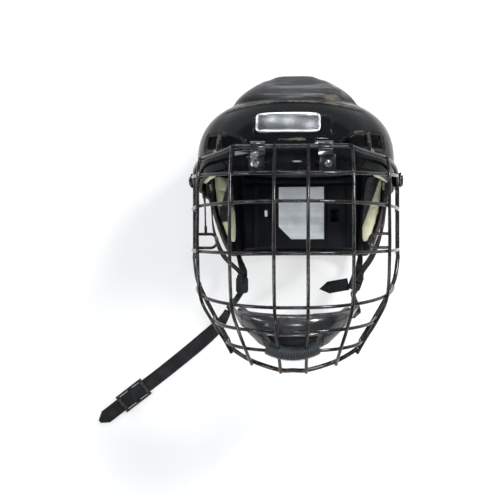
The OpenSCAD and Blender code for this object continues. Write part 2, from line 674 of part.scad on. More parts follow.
module chin_cup_pad() {
    color([0.13, 0.13, 0.14])
        skin(cup_grid(4, cup_wall + play), cup_grid(4, cup_wall + 11), cup_cols, len(cup_rows) - 5);
}
lip_half = 30;
lip_steps = 10;
lip_r = 5.4;
module chin_cup_lip() {
    pts = [for (k = [0:lip_steps]) bar_at(bars[5], mix(-lip_half, lip_half, k / lip_steps))];
    color([0.25, 0.25, 0.26]) tube(pts, [0, 1, 0], lip_r, 10);
}

// Each joiner of the harness is a tilted and turned plate: its middle, its tilt and its turn
left_joiner = [[38 - shell_hw, -76, 74], -30, 0];
right_joiner = [[shell_hw - 37, -73, 74], 30, -20];
joiner_t = 6;
joiner_size = [8, 12];
joiner_round = 3;
function turned_to(p, j) =
    let(x = p[0] * cos(j[1]) + p[2] * sin(j[1]))
    [x * cos(j[2]) - p[1] * sin(j[2]), x * sin(j[2]) + p[1] * cos(j[2]), p[2] * cos(j[1]) - p[0] * sin(j[1])];
function on_joiner(p, j) = j[0] + turned_to(p, j);
module strap_joiner(j) {
    color([0.04, 0.04, 0.045]) translate(j[0]) rotate([0, j[1], j[2]])
        linear_extrude(joiner_t, center = true) offset(joiner_round) square(joiner_size, center = true);
}

// Straps are sewn to the outer and inner faces of the joiners, and turn over along their length
front_strap_w = strap_w * 0.6;
cup_strap_w = strap_w * 0.45;
sewn_z = joiner_t / 2 + play + strap_t / 2;
sewn_gap = 1.2;
joiner_end = joiner_size[1] / 2 + joiner_round;
function sewn(j, up, face) =
    [for (y = [joiner_end + 5, joiner_end + 1, sewn_gap]) on_joiner([0, up * y, face * sewn_z], j)];
// A strap that ends on a joiner lies straight along its face
function sewn_path(hung, ends) = concat(smooth(concat(hung, [ends[0], ends[1]]), 4), [ends[2]]);
function turning(n, from, to, start, end) =
    [for (i = [0:n - 1]) mix(from, to, ease((i - start) / (n - 1 - end - start)))];
module strap(pts, w, from, to, start = 0, end = 0) {
    color([0.05, 0.05, 0.05]) ribbon(pts, turning(len(pts), from, to, start, end), w, strap_t);
}
// Front straps hang inside the temples, and draw in below them: distance drawn in, height and depth
front_hang = [[0, ear_y + 7, 112], [0, ear_y - 4, 112], [2.3, -18, 109], [11.3, -44, 98]];
module front_strap(side, j) {
    x = half_w(ear_y) - rear_off - wall - 2 * play - strap_t / 2;
    hung = [for (h = front_hang) [side * (x - h[0]), h[1], h[2]]];
    strap(sewn_path(hung, sewn(j, 1, 1)), front_strap_w, [0, 0, 1], -side * turned_to([1, 0, 0], j), 4, 6);
}
// Rear straps come down inside the neck edge of the rear shell
rear_strap_s = 51.5;
rear_strap_off = rear_off + wall + pad_play + play + strap_t / 2;
module rear_strap(side, j) {
    top = rear_in(side * rear_strap_s, neck_y + 18, rear_strap_off);
    edge = rear_in(side * rear_strap_s, neck_y + 2, rear_strap_off);
    along = rear_in(side * (rear_strap_s + 1), neck_y + 2, rear_strap_off) - edge;
    ends = sewn(j, 1, -1);
    hung = [top, edge, mix(edge, ends[0], 0.55) + [0, -2, -3]];
    strap(sewn_path(hung, ends), front_strap_w, unit(along) * side, turned_to([1, 0, 0], j), 5, 6);
}
// The right cup strap runs from the joiner to the back edge of the cup's wing
module right_cup_strap() {
    from = sewn(right_joiner, -1, 1);
    low = cup_rows[4];
    high = cup_rows[5];
    to = [(low[1] + high[1]) / 2, (low[0] + high[0]) / 2 + cup_smile, high[2] - 2];
    x = right_joiner[0][0];
    pts = concat([from[2]], smooth([from[1], from[0], [x, -97, 116], [x, -104, 162], to], 4));
    strap(pts, cup_strap_w, turned_to([1, 0, 0], right_joiner), [high[1] - low[1], high[0] - low[0], 0], 6);
}
// The tongue of the right chin strap, pointed and punched, hangs across the neck
tongue_l = 32;
tongue_half = 6.5;
tongue_t = 3;
tongue_hole_r = 1.8;
module right_tongue() {
    color([0.05, 0.05, 0.055]) translate(right_joiner[0] + [-8, -2, -4]) rotate([0, 0, 190])
        difference() {
            linear_extrude(tongue_t) polygon([[0, -tongue_half], [tongue_l - 10, -tongue_half], [tongue_l, 0],
                [tongue_l - 10, tongue_half], [0, tongue_half]]);
            for (x = [9, 18]) translate([x, 0, -1]) cylinder(h = tongue_t + 2, r = tongue_hole_r, $fn = 24);
        }
}

// The loose strap runs from the left joiner down to the floor and out past the chin
lay_z = 2.6;
leave_dir = unit([-4, -5, 0]);
function leaving(l) = on_joiner([-3, -6.6, -sewn_z] + leave_dir * l, left_joiner);
strap_pts = [leaving(9), leaving(13), [-76, -99, 48], [-82, -109, 26], [-89, -119, 9], [-98, -128.5, lay_z],
    [-116, -144.5, lay_z], [-136, -161, lay_z], [-156, -177, lay_z]];
strap_dir = unit([-50, -38.5, 0]);
last_bend = strap_pts[len(strap_pts) - 1];
tip_l = 9;
tip_w = 4;
strap_end = last_bend + strap_dir * strap_run;
loose_path = concat([leaving(0)], smooth(strap_pts, 3), [strap_end - strap_dir * tip_l, strap_end]);
turned_by = 14;
module loose_strap() {
    last = len(loose_path) - 1;
    flat = [-strap_dir[1], strap_dir[0], 0];
    widths = [for (i = [0:last]) i == last ? tip_w : strap_w];
    across = turned_to([leave_dir[1], -leave_dir[0], 0], left_joiner);
    color([0.05, 0.05, 0.05])
        ribbon(loose_path, turning(last + 1, across, flat, 4, last - turned_by), widths, strap_t);
}
slider_l = 36;
slider_w = 22;
slider_bar = 4;
slider_t = 2.2;
slider_side = 2.4;
slider_mid = 6;
slider_mid_t = 1.4;
slider_at = last_bend + strap_dir * slider_run;
module strap_slider() {
    low = lay_z - strap_t / 2 - play - slider_mid_t;
    high = lay_z + strap_t / 2 + play;
    heading_z = atan2(strap_dir[1], strap_dir[0]);
    color([0.04, 0.04, 0.045])
        translate([slider_at[0], slider_at[1], 0]) rotate([0, 0, heading_z]) union() {
            for (x = [-slider_l / 2, slider_l / 2 - slider_bar])
                translate([x, -slider_w / 2, high]) cube([slider_bar, slider_w, slider_t]);
            for (y = [-slider_w / 2, slider_w / 2 - slider_side])
                translate([-slider_l / 2, y, low]) cube([slider_l, slider_side, high + slider_t - low]);
            translate([-slider_mid / 2, -slider_w / 2, low]) cube([slider_mid, slider_w, slider_mid_t]);
        }
}

// Latch tabs that swing on studs behind the temple clips and keep the side wires in them
stud_y = side_clip_y + side_clip_h / 2;
stud_z = 137;
tab_in = side_clip_out + play;
tab_t = 1.5;
tab_r = 6;
tab_l = 36;
tab_tip_w = 9;
tab_neck = 5.4;
stud_r = 2.6;
module snap_studs() {
    foot = half_w(stud_y) + 0.1;
    color([0.5, 0.5, 0.5]) for (side = [-1, 1]) mirror([side < 0 ? 1 : 0, 0, 0])
        translate([foot, stud_y, stud_z]) rotate([0, 90, 0]) union() {
            cylinder(h = tab_in - foot - play, r = 4.6, $fn = 40);
            cylinder(h = tab_in + tab_t + 2 * play - foot, r = stud_r, $fn = 40);
            translate([0, 0, tab_in + tab_t + play - foot]) cylinder(h = 1.3, r = 4.4, $fn = 40);
        }
}
module snap_tab(side) {
    color([0.06, 0.06, 0.06]) mirror([side < 0 ? 1 : 0, 0, 0])
        translate([tab_in, stud_y, stud_z]) rotate([0, 90, 0]) rotate([0, 0, 90])
            difference() {
                union() {
                    cylinder(h = tab_t, r = tab_r, $fn = 48);
                    linear_extrude(tab_t) polygon([[-tab_neck, 1], [-tab_tip_w / 2, tab_l - 8], [0, tab_l],
                        [tab_tip_w / 2, tab_l - 8], [tab_neck, 1]]);
                }
                translate([0, 0, -1]) cylinder(h = 4, r = stud_r + 0.05, $fn = 40);
            }
}

// Side straps from the wire eyes back to the temples
module cage_strap(side) {
    pts = smooth([[eye_x + 4.4, eye_y + 9.5, eye_z - 1],
        [half_cage - 15.5, -12, cage_back_z + 46],
        [half_cage - 11.5, 8, cage_back_z + 12],
        [half_cage - 7.5, 20, cage_back_z - 10]], 3);
    path = side < 0 ? mirrored(pts) : pts;
    color([0.07, 0.07, 0.07]) ribbon(path, [for (p = path) [0, 1, 0]], strap_w * 0.55, strap_t);
}

front_shell();
rear_shell();
badge_plate();
label_patch();
forehead_pad();
left_temple_pad();
right_temple_pad();
crown_pad();
rear_pad();
left_side_pad();
right_side_pad();
rear_crown_pad();
brow_clip(-1);  // left_brow_clip
brow_clip(1);  // right_brow_clip
brow_clip_screws();
side_clip(-1);  // left_side_clip
side_clip(1);  // right_side_clip
side_clip_screws();
adjust_screws();
adjust_nuts();
vent_screws();
hinge_bar();
cage_frame();
upright(0, -1);  // upright_1
upright(1, -1);  // upright_2
upright(2, -1);  // upright_3
upright(2, 1);  // upright_4
upright(1, 1);  // upright_5
upright(0, 1);  // upright_6
crossbar(0);  // crossbar_1
crossbar(1);  // crossbar_2
crossbar(2);  // crossbar_3
crossbar(3);  // crossbar_4
crossbar(4);  // crossbar_5
crossbar(5);  // crossbar_6
cage_eye(-1);  // left_cage_eye
cage_eye(1);  // right_cage_eye
cage_strap(-1);  // left_cage_strap
cage_strap(1);  // right_cage_strap
chin_cup();
chin_cup_pad();
chin_cup_lip();
front_strap(-1, left_joiner);  // left_front_strap
front_strap(1, right_joiner);  // right_front_strap
rear_strap(-1, left_joiner);  // left_rear_strap
rear_strap(1, right_joiner);  // right_rear_strap
strap_joiner(left_joiner);  // left_strap_joiner
strap_joiner(right_joiner);  // right_strap_joiner
right_tongue();
right_cup_strap();
loose_strap();
strap_slider();
snap_tab(-1);  // left_snap_tab
snap_tab(1);  // right_snap_tab
snap_studs();
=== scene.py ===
"""Dresses the packed ice hockey helmet: shells, pads, wire cage, chin cup, harness and stage."""
import math
from contextlib import contextmanager
from functools import cache

import bmesh
import bpy
import numpy as np
from bpy.props import FloatProperty, FloatVectorProperty, IntProperty, PointerProperty
from bpy.types import Operator, Panel, PropertyGroup
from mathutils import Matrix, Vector
from mathutils.bvhtree import BVHTree


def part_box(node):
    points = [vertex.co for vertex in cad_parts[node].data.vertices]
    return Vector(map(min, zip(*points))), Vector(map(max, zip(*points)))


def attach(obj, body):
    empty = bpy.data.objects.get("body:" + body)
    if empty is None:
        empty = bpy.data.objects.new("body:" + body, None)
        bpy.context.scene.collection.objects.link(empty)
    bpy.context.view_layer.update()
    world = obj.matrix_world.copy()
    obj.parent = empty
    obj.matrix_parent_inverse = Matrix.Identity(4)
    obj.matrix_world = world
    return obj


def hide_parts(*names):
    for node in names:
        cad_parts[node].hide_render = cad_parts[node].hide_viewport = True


bl_info = {
    "name": "Hockey Helmet with Cage",
    "version": (1, 0, 0),
    "blender": (4, 5, 0),
    "location": "View3D > Sidebar > Helmet",
    "description": "Dresses the construction model of an ice hockey helmet with a wire face cage",
    "category": "Add Mesh",
}

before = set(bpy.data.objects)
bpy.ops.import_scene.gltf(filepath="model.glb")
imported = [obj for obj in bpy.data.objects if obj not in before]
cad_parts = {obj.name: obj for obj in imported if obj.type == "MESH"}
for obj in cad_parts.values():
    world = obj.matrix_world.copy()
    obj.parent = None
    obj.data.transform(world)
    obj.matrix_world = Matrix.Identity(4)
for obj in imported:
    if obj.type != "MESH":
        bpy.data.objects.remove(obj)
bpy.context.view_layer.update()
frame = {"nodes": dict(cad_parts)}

MM = 0.001

# Places and sizes of the shells, as in the construction model
SHELL_LOW, SHELL_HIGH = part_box("front_shell")
SHELL_HW = SHELL_HIGH.x
SHELL_DEPTH = SHELL_HIGH.z
CROWN_Y = SHELL_HIGH.y
FRONT_EDGE_Z = SHELL_LOW.z
TEMPLE_Y = SHELL_LOW.y
REAR_EDGE_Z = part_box("rear_shell")[1].z
BROW_Y = 32 * MM
WIDE_Y = 45 * MM
NECK_Y = -46 * MM
EAR_Y = 15 * MM
RIDGE_TOP_W = 38 * MM
RIDGE_FOOT_W = 128 * MM
RIDGE_FOOT_Y = 104 * MM
RIDGE_SWELL = 5.5 * MM
FRONT_CORE_Z = 155 * MM
REAR_CORE_Z = 110 * MM
RIDGE_TOP_FRONT_Z = 172 * MM
RIDGE_FOOT_FRONT_Z = 236 * MM
RIDGE_TOP_REAR_Z = 70 * MM
RIDGE_FOOT_REAR_Z = 24 * MM
NECK_Z = 6 * MM
NECK_TUCK = 8 * MM
BROW_TUCK = 4 * MM
REST_CUT = 3 * MM
WALL = 3 * MM
REAR_OFF = 3.5 * MM
PLAY = 0.3 * MM
FRONT_N = 2.1
RIDGE_N = 6
REAR_N = 2.4
DOME_N = 2.7
BROW_N = 2.2
NAPE_N = 2.6

# Vents, by their stations round the head in degrees and their heights
VENT_LOW_Y = 58 * MM
VENT_TOP_Y = 71 * MM
WEDGE_VENT = (27, 46)
SIDE_VENT = (50, 60)

# The cage
CAGE_BACK_Z = 168 * MM
CAGE_FRONT_Z = 298 * MM
HALF_CAGE = 101.5 * MM
CAGE_N = 2.3
HINGE_Y = 55 * MM
HINGE_Z = SHELL_DEPTH + 9 * MM
HINGE_BAR_L = 2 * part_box("hinge_bar")[1].x
CHIN_Y = -153 * MM
CHIN_Z = 239 * MM
SHOULDER_Z = 234 * MM


def ease(k):
    c = np.clip(k, 0, 1)
    return c * c * (3 - 2 * c)


def mix(a, b, k):
    return a + (b - a) * k


def hill(d, width):
    """1 where the distance d is nought, falling to nothing past about twice the width."""
    return np.exp(-((d / width) ** 2))


def unit(v):
    v = np.asarray(v, float)
    return v / np.maximum(1e-12, np.linalg.norm(v, axis=-1, keepdims=True))


def sine(degrees):
    return np.sin(np.radians(degrees))


def cosine(degrees):
    return np.cos(np.radians(degrees))


# Outlines of the shells: a neck, a dome and a ridge over it, the front and the rear each on their own arch
def arch_rise(foot, k, n):
    return foot / (1 - k ** n) ** (1 / n)


def arch(h, rise, n):
    return np.maximum(0, 1 - (np.maximum(0, h) / rise) ** n) ** (1 / n)


DOME_RISE = arch_rise(RIDGE_FOOT_Y - WIDE_Y, RIDGE_FOOT_W / (2 * SHELL_HW), DOME_N)
FRONT_REACH = SHELL_DEPTH - FRONT_CORE_Z
BROW_RISE = arch_rise(RIDGE_FOOT_Y - WIDE_Y, (RIDGE_FOOT_FRONT_Z - FRONT_CORE_Z) / FRONT_REACH, BROW_N)
REAR_REACH = REAR_CORE_Z + REST_CUT + REAR_OFF
NAPE_RISE = arch_rise(RIDGE_FOOT_Y, (REAR_CORE_Z - RIDGE_FOOT_REAR_Z) / REAR_REACH, NAPE_N)
NECK_RISE = arch_rise(-NECK_Y, (REAR_CORE_Z - NECK_Z) / REAR_REACH, NAPE_N)


def up_the_ridge(y):
    return (y - RIDGE_FOOT_Y) / (CROWN_Y - RIDGE_FOOT_Y)


def half_width(y):
    neck = SHELL_HW - NECK_TUCK * (np.maximum(0, WIDE_Y - y) / (WIDE_Y - NECK_Y)) ** 2
    dome = SHELL_HW * arch(y - WIDE_Y, DOME_RISE, DOME_N)
    k = up_the_ridge(y)
    ridge = mix(RIDGE_FOOT_W / 2, RIDGE_TOP_W / 2, k) + RIDGE_SWELL * 4 * k * (1 - k)
    return np.where(y < WIDE_Y, neck, np.where(y < RIDGE_FOOT_Y, dome, ridge))


def front_z(y):
    brow = SHELL_DEPTH - BROW_TUCK * (np.maximum(0, WIDE_Y - y) / (WIDE_Y - BROW_Y)) ** 2
    dome = FRONT_CORE_Z + FRONT_REACH * arch(y - WIDE_Y, BROW_RISE, BROW_N)
    ridge = mix(RIDGE_FOOT_FRONT_Z, RIDGE_TOP_FRONT_Z, up_the_ridge(y))
    return np.where(y < WIDE_Y, brow, np.where(y < RIDGE_FOOT_Y, dome, ridge))


def rear_z(y):
    neck = REAR_CORE_Z - REAR_REACH * arch(-y, NECK_RISE, NAPE_N)
    dome = REAR_CORE_Z - REAR_REACH * arch(y, NAPE_RISE, NAPE_N)
    ridge = mix(RIDGE_FOOT_REAR_Z, RIDGE_TOP_REAR_Z, up_the_ridge(y))
    return np.where(y < 0, neck, np.where(y < RIDGE_FOOT_Y, dome, ridge))


def softened(profile, y, reach=2 * MM):
    """A profile with its corners rounded, as a moulded shell has them."""
    steps = np.linspace(-reach, reach, 7)
    return sum(profile(y + d) for d in steps) / len(steps)


def skin_point(s, y, core, end_z, n, way):
    """A point of a shell at station s, an angle up to 90 degrees and past that a run in millimetres."""
    turn = np.minimum(90, np.abs(s))
    run = np.maximum(0, np.abs(s) - 90) * MM
    x = np.sign(s) * softened(half_width, y) * sine(turn) ** (2 / n)
    z = mix(core, softened(end_z, y), cosine(turn) ** (2 / n)) + way * run
    return np.stack(np.broadcast_arrays(x, y, z), -1)


def front_point(s, y):
    n = mix(FRONT_N, RIDGE_N, np.maximum(0, up_the_ridge(y)))
    return skin_point(s, y, FRONT_CORE_Z, front_z, n, -1)


def rear_point(s, y):
    return skin_point(s, y, REAR_CORE_Z, rear_z, REAR_N, 1)


def skin(point, s, y, depth=0.0):
    """Points of a skin at stations s and heights y, moved inwards along the skin's normal."""
    s, y = np.broadcast_arrays(np.asarray(s, float), np.asarray(y, float))
    across = point(s + 0.5, y) - point(s - 0.5, y)
    up = point(s, y + 0.5 * MM) - point(s, y - 0.5 * MM)
    way = -1 if point is front_point else 1
    return point(s, y) + way * np.asarray(depth)[..., None] * unit(np.cross(across, up))


def station_at(x, y=WIDE_Y, n=FRONT_N):
    """The station of the skin at height y that lies at distance x from the middle."""
    return np.degrees(np.arcsin(np.clip(np.abs(x) / softened(half_width, y), 0, 1) ** (n / 2)))


# Mesh making: every piece is a mesh in the frame's own place, on an object at the origin
DOUBLED, TINY = 0.005 * MM, 1e-6


def placed(name, data):
    thing = bpy.data.objects.new(name, data)
    bpy.context.scene.collection.objects.link(thing)
    return thing


def new_piece(name, points, faces, edges=(), smooth=True):
    mesh = bpy.data.meshes.new(name)
    mesh.from_pydata([tuple(p) for p in np.asarray(points, float).reshape(-1, 3)], edges, faces)
    mesh.validate()
    if smooth:
        mesh.shade_smooth()
    return placed(name, mesh)


def copy_of(node, name):
    """A piece with a copy of a construction node's mesh, bare of materials."""
    mesh = frame["nodes"][node].data.copy()
    mesh.materials.clear()
    return placed(name, mesh)


def grid_faces(rows, cols, start=0, closed=False, keep=None):
    faces = []
    for j in range(rows - 1):
        for i in range(cols if closed else cols - 1):
            if keep is None or keep[j, i]:
                a = start + j * cols + i
                b = start + j * cols + (i + 1) % cols
                faces.append((a, b, b + cols, a + cols))
    return faces


def layered(name, top, low, keep=None):
    """A closed body between two grids of points, with walls round it and round its holes."""
    rows, cols = top.shape[:2]
    count = rows * cols
    keep = np.ones((rows - 1, cols - 1), bool) if keep is None else keep
    faces = grid_faces(rows, cols, keep=keep)
    faces += [tuple(i + count for i in face[::-1]) for face in faces]
    kept = np.pad(keep, 1)
    for j, i in np.argwhere(keep):
        a = j * cols + i
        b, c, d = a + 1, a + cols + 1, a + cols
        sides = ((kept[j, i + 1], b, a), (kept[j + 1, i + 2], c, b), (kept[j + 2, i + 1], d, c),
                 (kept[j + 1, i], a, d))
        faces += [(p, q, q + count, p + count) for inside, p, q in sides if not inside]
    return new_piece(name, np.vstack([top.reshape(-1, 3), low.reshape(-1, 3)]), faces)


def settle(piece):
    """Turns what the modifiers make into the piece's own plain mesh."""
    bpy.context.view_layer.update()
    graph = bpy.context.evaluated_depsgraph_get()
    piece.data = bpy.data.meshes.new_from_object(piece.evaluated_get(graph), preserve_all_data_layers=True,
                                                 depsgraph=graph)
    piece.modifiers.clear()
    return piece


@contextmanager
def edited(piece, distance):
    """A piece's mesh for editing, with its doubled points joined."""
    bm = bmesh.new()
    bm.from_mesh(piece.data)
    bmesh.ops.remove_doubles(bm, verts=bm.verts, dist=distance)
    yield bm
    bm.to_mesh(piece.data)
    bm.free()


def merged(piece, distance=DOUBLED, flat=None):
    """Joins doubled points, turns all faces outwards and, if asked, clears edges on flat ground."""
    with edited(piece, distance) as bm:
        bmesh.ops.dissolve_degenerate(bm, dist=distance / 2, edges=bm.edges)
        if flat is not None:
            bmesh.ops.dissolve_limit(bm, angle_limit=math.radians(flat), verts=bm.verts, edges=bm.edges)
        bmesh.ops.recalc_face_normals(bm, faces=bm.faces)
    return piece


def eased_out(piece, chosen, rounds):
    """Smooths the chosen inner points of a sheet, to round its corners."""
    with edited(piece, DOUBLED) as bm:
        verts = [v for v in bm.verts if chosen(v.co) and not v.is_boundary]
        for _ in range(rounds):
            bmesh.ops.smooth_vert(bm, verts=verts, factor=0.5, use_axis_x=True, use_axis_y=True,
                                  use_axis_z=True)


def store(piece, name, values):
    """Keeps one number for each point of the mesh, or one for all, which the materials read by name."""
    layer = piece.data.attributes.get(name) or piece.data.attributes.new(name, "FLOAT", "POINT")
    values = np.asarray(values, np.float32).ravel()
    layer.data.foreach_set("value", values if values.size > 1 else np.full(len(layer.data), values[0]))


def points_of(piece, what="co"):
    values = np.empty(len(piece.data.vertices) * 3, np.float32)
    piece.data.vertices.foreach_get(what, values)
    return values.reshape(-1, 3).astype(float)


def thickened(piece, thickness, bevel, inner_slot=0):
    """Gives a sheet its wall, inwards, with rounded rims."""
    wall = piece.modifiers.new("Wall", "SOLIDIFY")
    wall.thickness = thickness
    wall.offset = -1
    wall.use_even_offset = True
    wall.material_offset = inner_slot
    return rounded(piece, bevel, 2, 50)


def rounded(piece, bevel, segments, angle):
    """Rounds the edges that are sharper than the angle, given in degrees."""
    edge = piece.modifiers.new("Edges", "BEVEL")
    edge.width = bevel
    edge.segments = segments
    edge.limit_method = "ANGLE"
    edge.angle_limit = math.radians(angle)
    edge.harden_normals = True
    edge.miter_outer = "MITER_ARC"
    return settle(piece)


def refined(node, name, bevel, segments):
    """A merged copy of a construction node with its edges rounded, which stands for it."""
    piece = merged(copy_of(node, name), flat=1)
    piece.data.shade_smooth()
    rounded(piece, bevel, segments, 35)
    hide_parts(node)
    return piece


def dress(piece, body, slot, *names):
    """Gives a finished piece its materials by name and its body; its slot is not used."""
    paint(piece, *names)
    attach(piece, body)


def stand_in(piece, node, body, slot, *names):
    """Dresses a piece that stands for a construction node."""
    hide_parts(node)
    dress(piece, body, slot, *names)


# Paths: wires and webbing follow smooth curves through a few stations
def between(a, b, c, d, k):
    """The place at share k between b and c, on a smooth curve that also heeds a before and d after them."""
    return 0.5 * (2 * b + (c - a) * k + (2 * a - 5 * b + 4 * c - d) * k ** 2
                  + (3 * b - a - 3 * c + d) * k ** 3)


def smooth_path(points, steps):
    """A smooth curve through the points, with its place along them counted in spans."""
    points = np.asarray(points, float)
    last = len(points) - 1
    made, places = [], []
    for i in range(last):
        a, b, c, d = points[max(0, i - 1)], points[i], points[i + 1], points[min(last, i + 2)]
        for k in np.arange(steps) / steps:
            made.append(between(a, b, c, d, k))
            places.append(i + k)
    return np.array(made + [points[-1]]), np.array(places + [last])


def headings(path):
    ahead = np.vstack([path[1:], path[-1:]])
    behind = np.vstack([path[:1], path[:-1]])
    return unit(ahead - behind)


def run_along(path):
    """The distance of each point from the start of its path."""
    return np.concatenate([[0], np.cumsum(np.linalg.norm(np.diff(path, axis=0), axis=1))])


def mirrored(points):
    return np.asarray(points, float) * [-1, 1, 1]


def tube_faces(rings, sides):
    """Faces of a tube of rings, with both its ends closed."""
    ends = [tuple(range(sides))[::-1], tuple(range((rings - 1) * sides, rings * sides))]
    return grid_faces(rings, sides, closed=True) + ends


# The section of a strap: across, out, both as shares of its half width and half thickness
STRAP_SECTION = [(-1, 0), (-0.97, 0.75), (-0.9, 1), (-0.6, 0.9), (-0.2, 0.9), (0.2, 0.9), (0.6, 0.9),
                 (0.9, 1), (0.97, 0.75), (1, 0), (0.97, -0.75), (0.9, -1), (0.6, -0.9), (0.2, -0.9),
                 (-0.2, -0.9), (-0.6, -0.9), (-0.9, -1), (-0.97, -0.75)]


def strap_frame(path, wides):
    """The ways across a strap and straight out of it, at each point of its path."""
    ahead = headings(path)
    wides = np.asarray(wides, float)
    across = unit(wides - (wides * ahead).sum(1, keepdims=True) * ahead)
    return across, np.cross(ahead, across)


def ribbon(name, path, wides, widths, thickness):
    """Webbing along a path: its width lies along wides, and its UV map holds metres across and along."""
    path = np.asarray(path, float)
    across, out = strap_frame(path, wides)
    section = np.array(STRAP_SECTION)
    half = np.broadcast_to(np.asarray(widths, float) / 2, len(path))
    rings = (path[:, None] + across[:, None] * (section[None, :, :1] * half[:, None, None])
             + out[:, None] * (section[None, :, 1:] * thickness / 2))
    count = len(section)
    piece = new_piece(name, rings, tube_faces(len(path), count))
    along = run_along(path)
    uv = piece.data.uv_layers.new(name="Webbing")
    for loop in piece.data.loops:
        ring, k = divmod(loop.vertex_index, count)
        uv.data[loop.index].uv = (section[k][0] * half[ring], along[ring])
    return merged(piece, distance=0.001 * MM)


# Node trees
class Value:
    """A number in a node tree. Plain arithmetic on it adds the nodes for that."""

    def __init__(self, graph, socket):
        self.graph, self.socket = graph, socket

    def __add__(self, other):
        return self.graph.sum("ADD", self, other)

    def __mul__(self, other):
        return self.graph.sum("MULTIPLY", self, other)

    def __sub__(self, other):
        return self.graph.sum("SUBTRACT", self, other)

    def __rsub__(self, other):
        return self.graph.sum("SUBTRACT", other, self)

    def __truediv__(self, other):
        return self.graph.sum("DIVIDE", self, other)


class Graph:
    """A node tree under construction, with short calls that add, set and join its nodes."""

    def __init__(self, tree):
        self.tree = tree
        tree.nodes.clear()

    def node(self, kind, inputs=None, **settings):
        node = self.tree.nodes.new(kind)
        for key, value in settings.items():
            setattr(node, key, value)
        for key, value in (inputs or {}).items():
            self.feed(node.inputs[key], value)
        return node

    def add(self, kind, inputs=None, out=0, **settings):
        return Value(self, self.node(kind, inputs, **settings).outputs[out])

    def feed(self, socket, value):
        value = value.socket if isinstance(value, Value) else value
        if isinstance(value, bpy.types.NodeSocket):
            self.tree.links.new(value, socket)
        else:
            socket.default_value = value

    def sum(self, operation, *values, clamp=False):
        """One step of arithmetic on numbers."""
        return self.add("ShaderNodeMath", dict(enumerate(values)), operation=operation, use_clamp=clamp)

    def span(self, value, low, high, to_low=0.0, to_high=1.0):
        """The value's place between low and high, as a number from to_low to to_high."""
        return self.add("ShaderNodeMapRange", {"Value": value, "From Min": low, "From Max": high,
                                               "To Min": to_low, "To Max": to_high})

    def ranged(self, share, low, high):
        return self.span(share, 0.0, 1.0, low, high)

    def noise(self, scale, detail, rough, vector=None):
        return self.add("ShaderNodeTexNoise", {"Vector": vector or self.place, "Scale": scale,
                                               "Detail": detail, "Roughness": rough})

    def cells(self, scale):
        return self.add("ShaderNodeTexVoronoi", {"Vector": self.place, "Scale": scale})

    def scaled(self, scale, turn=(0, 0, 0)):
        return self.add("ShaderNodeMapping", {"Vector": self.place, "Rotation": turn, "Scale": scale})

    def blend(self, share, first, second):
        """A colour between the first and the second."""
        return self.add("ShaderNodeMix", {0: share, 6: first, 7: second}, 2, data_type="RGBA")

    def named(self, name, kind="FLOAT"):
        return self.add("GeometryNodeInputNamedAttribute", {"Name": name}, data_type=kind)


# Effects that several materials use. Each is built from its own inputs and gives its outputs in order
def edge_wear(g, wear, scale, amount):
    """Where handling has rubbed a surface: the wear of the place, broken up by noise."""
    broken = g.noise(scale, 4.0, 0.65) * 0.7 + g.noise(scale * 7.0, 2.0, 0.6) * 0.3
    return [g.span(broken + wear * amount, 0.66, 0.84)]


def scratches(g, scale, density):
    """Fine scratches in two directions."""
    lines = []
    for turn, stretch in (((0.3, 0.2, 0.5), (14, 1, 1)), ((0.9, 0.4, -0.8), (1, 17, 1))):
        field = g.noise(scale, 2.0, 0.4, g.scaled(stretch, turn))
        lines.append(g.span(g.sum("ABSOLUTE", field - 0.5), 0.0, 0.006, 1.0, 0.0))
    shown = g.span(g.noise(scale * 0.4, 2.0, 0.5) + density, 0.95, 1.15)
    return [g.sum("MAXIMUM", *lines) * shown]


def moulded_grain(g, scale):
    """The fine grain of moulded plastic and of coatings, with broad smudges."""
    smudge = g.noise(scale * 0.02, 4.0, 0.6)
    return g.noise(scale, 3.0, 0.6) + g.cells(scale) * 0.5, g.span(smudge, 0.35, 0.7)


def weave(g, rib, yarn):
    """Webbing: ribs along the strap, each crossed by yarns that are offset from rib to rib."""
    x, y = (g.add("ShaderNodeSeparateXYZ", {"Vector": g.place}, axis) for axis in "XY")
    ribs = x / rib
    yarns = y / yarn + g.sum("PINGPONG", g.sum("FLOOR", ribs), 1.0) * 0.5
    across, along = (g.sum("SINE", g.sum("FRACT", v) * math.pi) for v in (ribs, yarns))
    woven = across * g.sum("POWER", along, 0.7)
    # The second output follows the weave's height, so the grooves between the yarns get the darker tone:
    # painted shade, broken up by noise.
    return woven, g.ranged(woven, 0.3, 1.0) * g.span(g.noise(900.0, 3.0, 0.7), 0.3, 0.7, 0.6, 1.2)


def foam(g, scale):
    """Foam: open cells in the height, and stains."""
    stain = g.noise(scale * 0.06, 5.0, 0.65)
    return g.cells(scale) + g.noise(scale * 0.12, 4.0, 0.6) * 1.6, g.span(stain, 0.38, 0.68)


EFFECTS = {
    "wear": ("Edge wear", edge_wear, {"Wear": 0.0, "Scale": 120.0, "Amount": 0.5}, ["Mask"]),
    "scratches": ("Scratches", scratches, {"Scale": 60.0, "Density": 0.5}, ["Mask"]),
    "grain": ("Moulded grain", moulded_grain, {"Scale": 900.0}, ["Height", "Smudge"]),
    "weave": ("Webbing weave", weave, {"Rib": 0.0011, "Yarn": 0.0016}, ["Height", "Tint"]),
    "foam": ("Foam cells", foam, {"Scale": 700.0}, ["Height", "Stain"])}


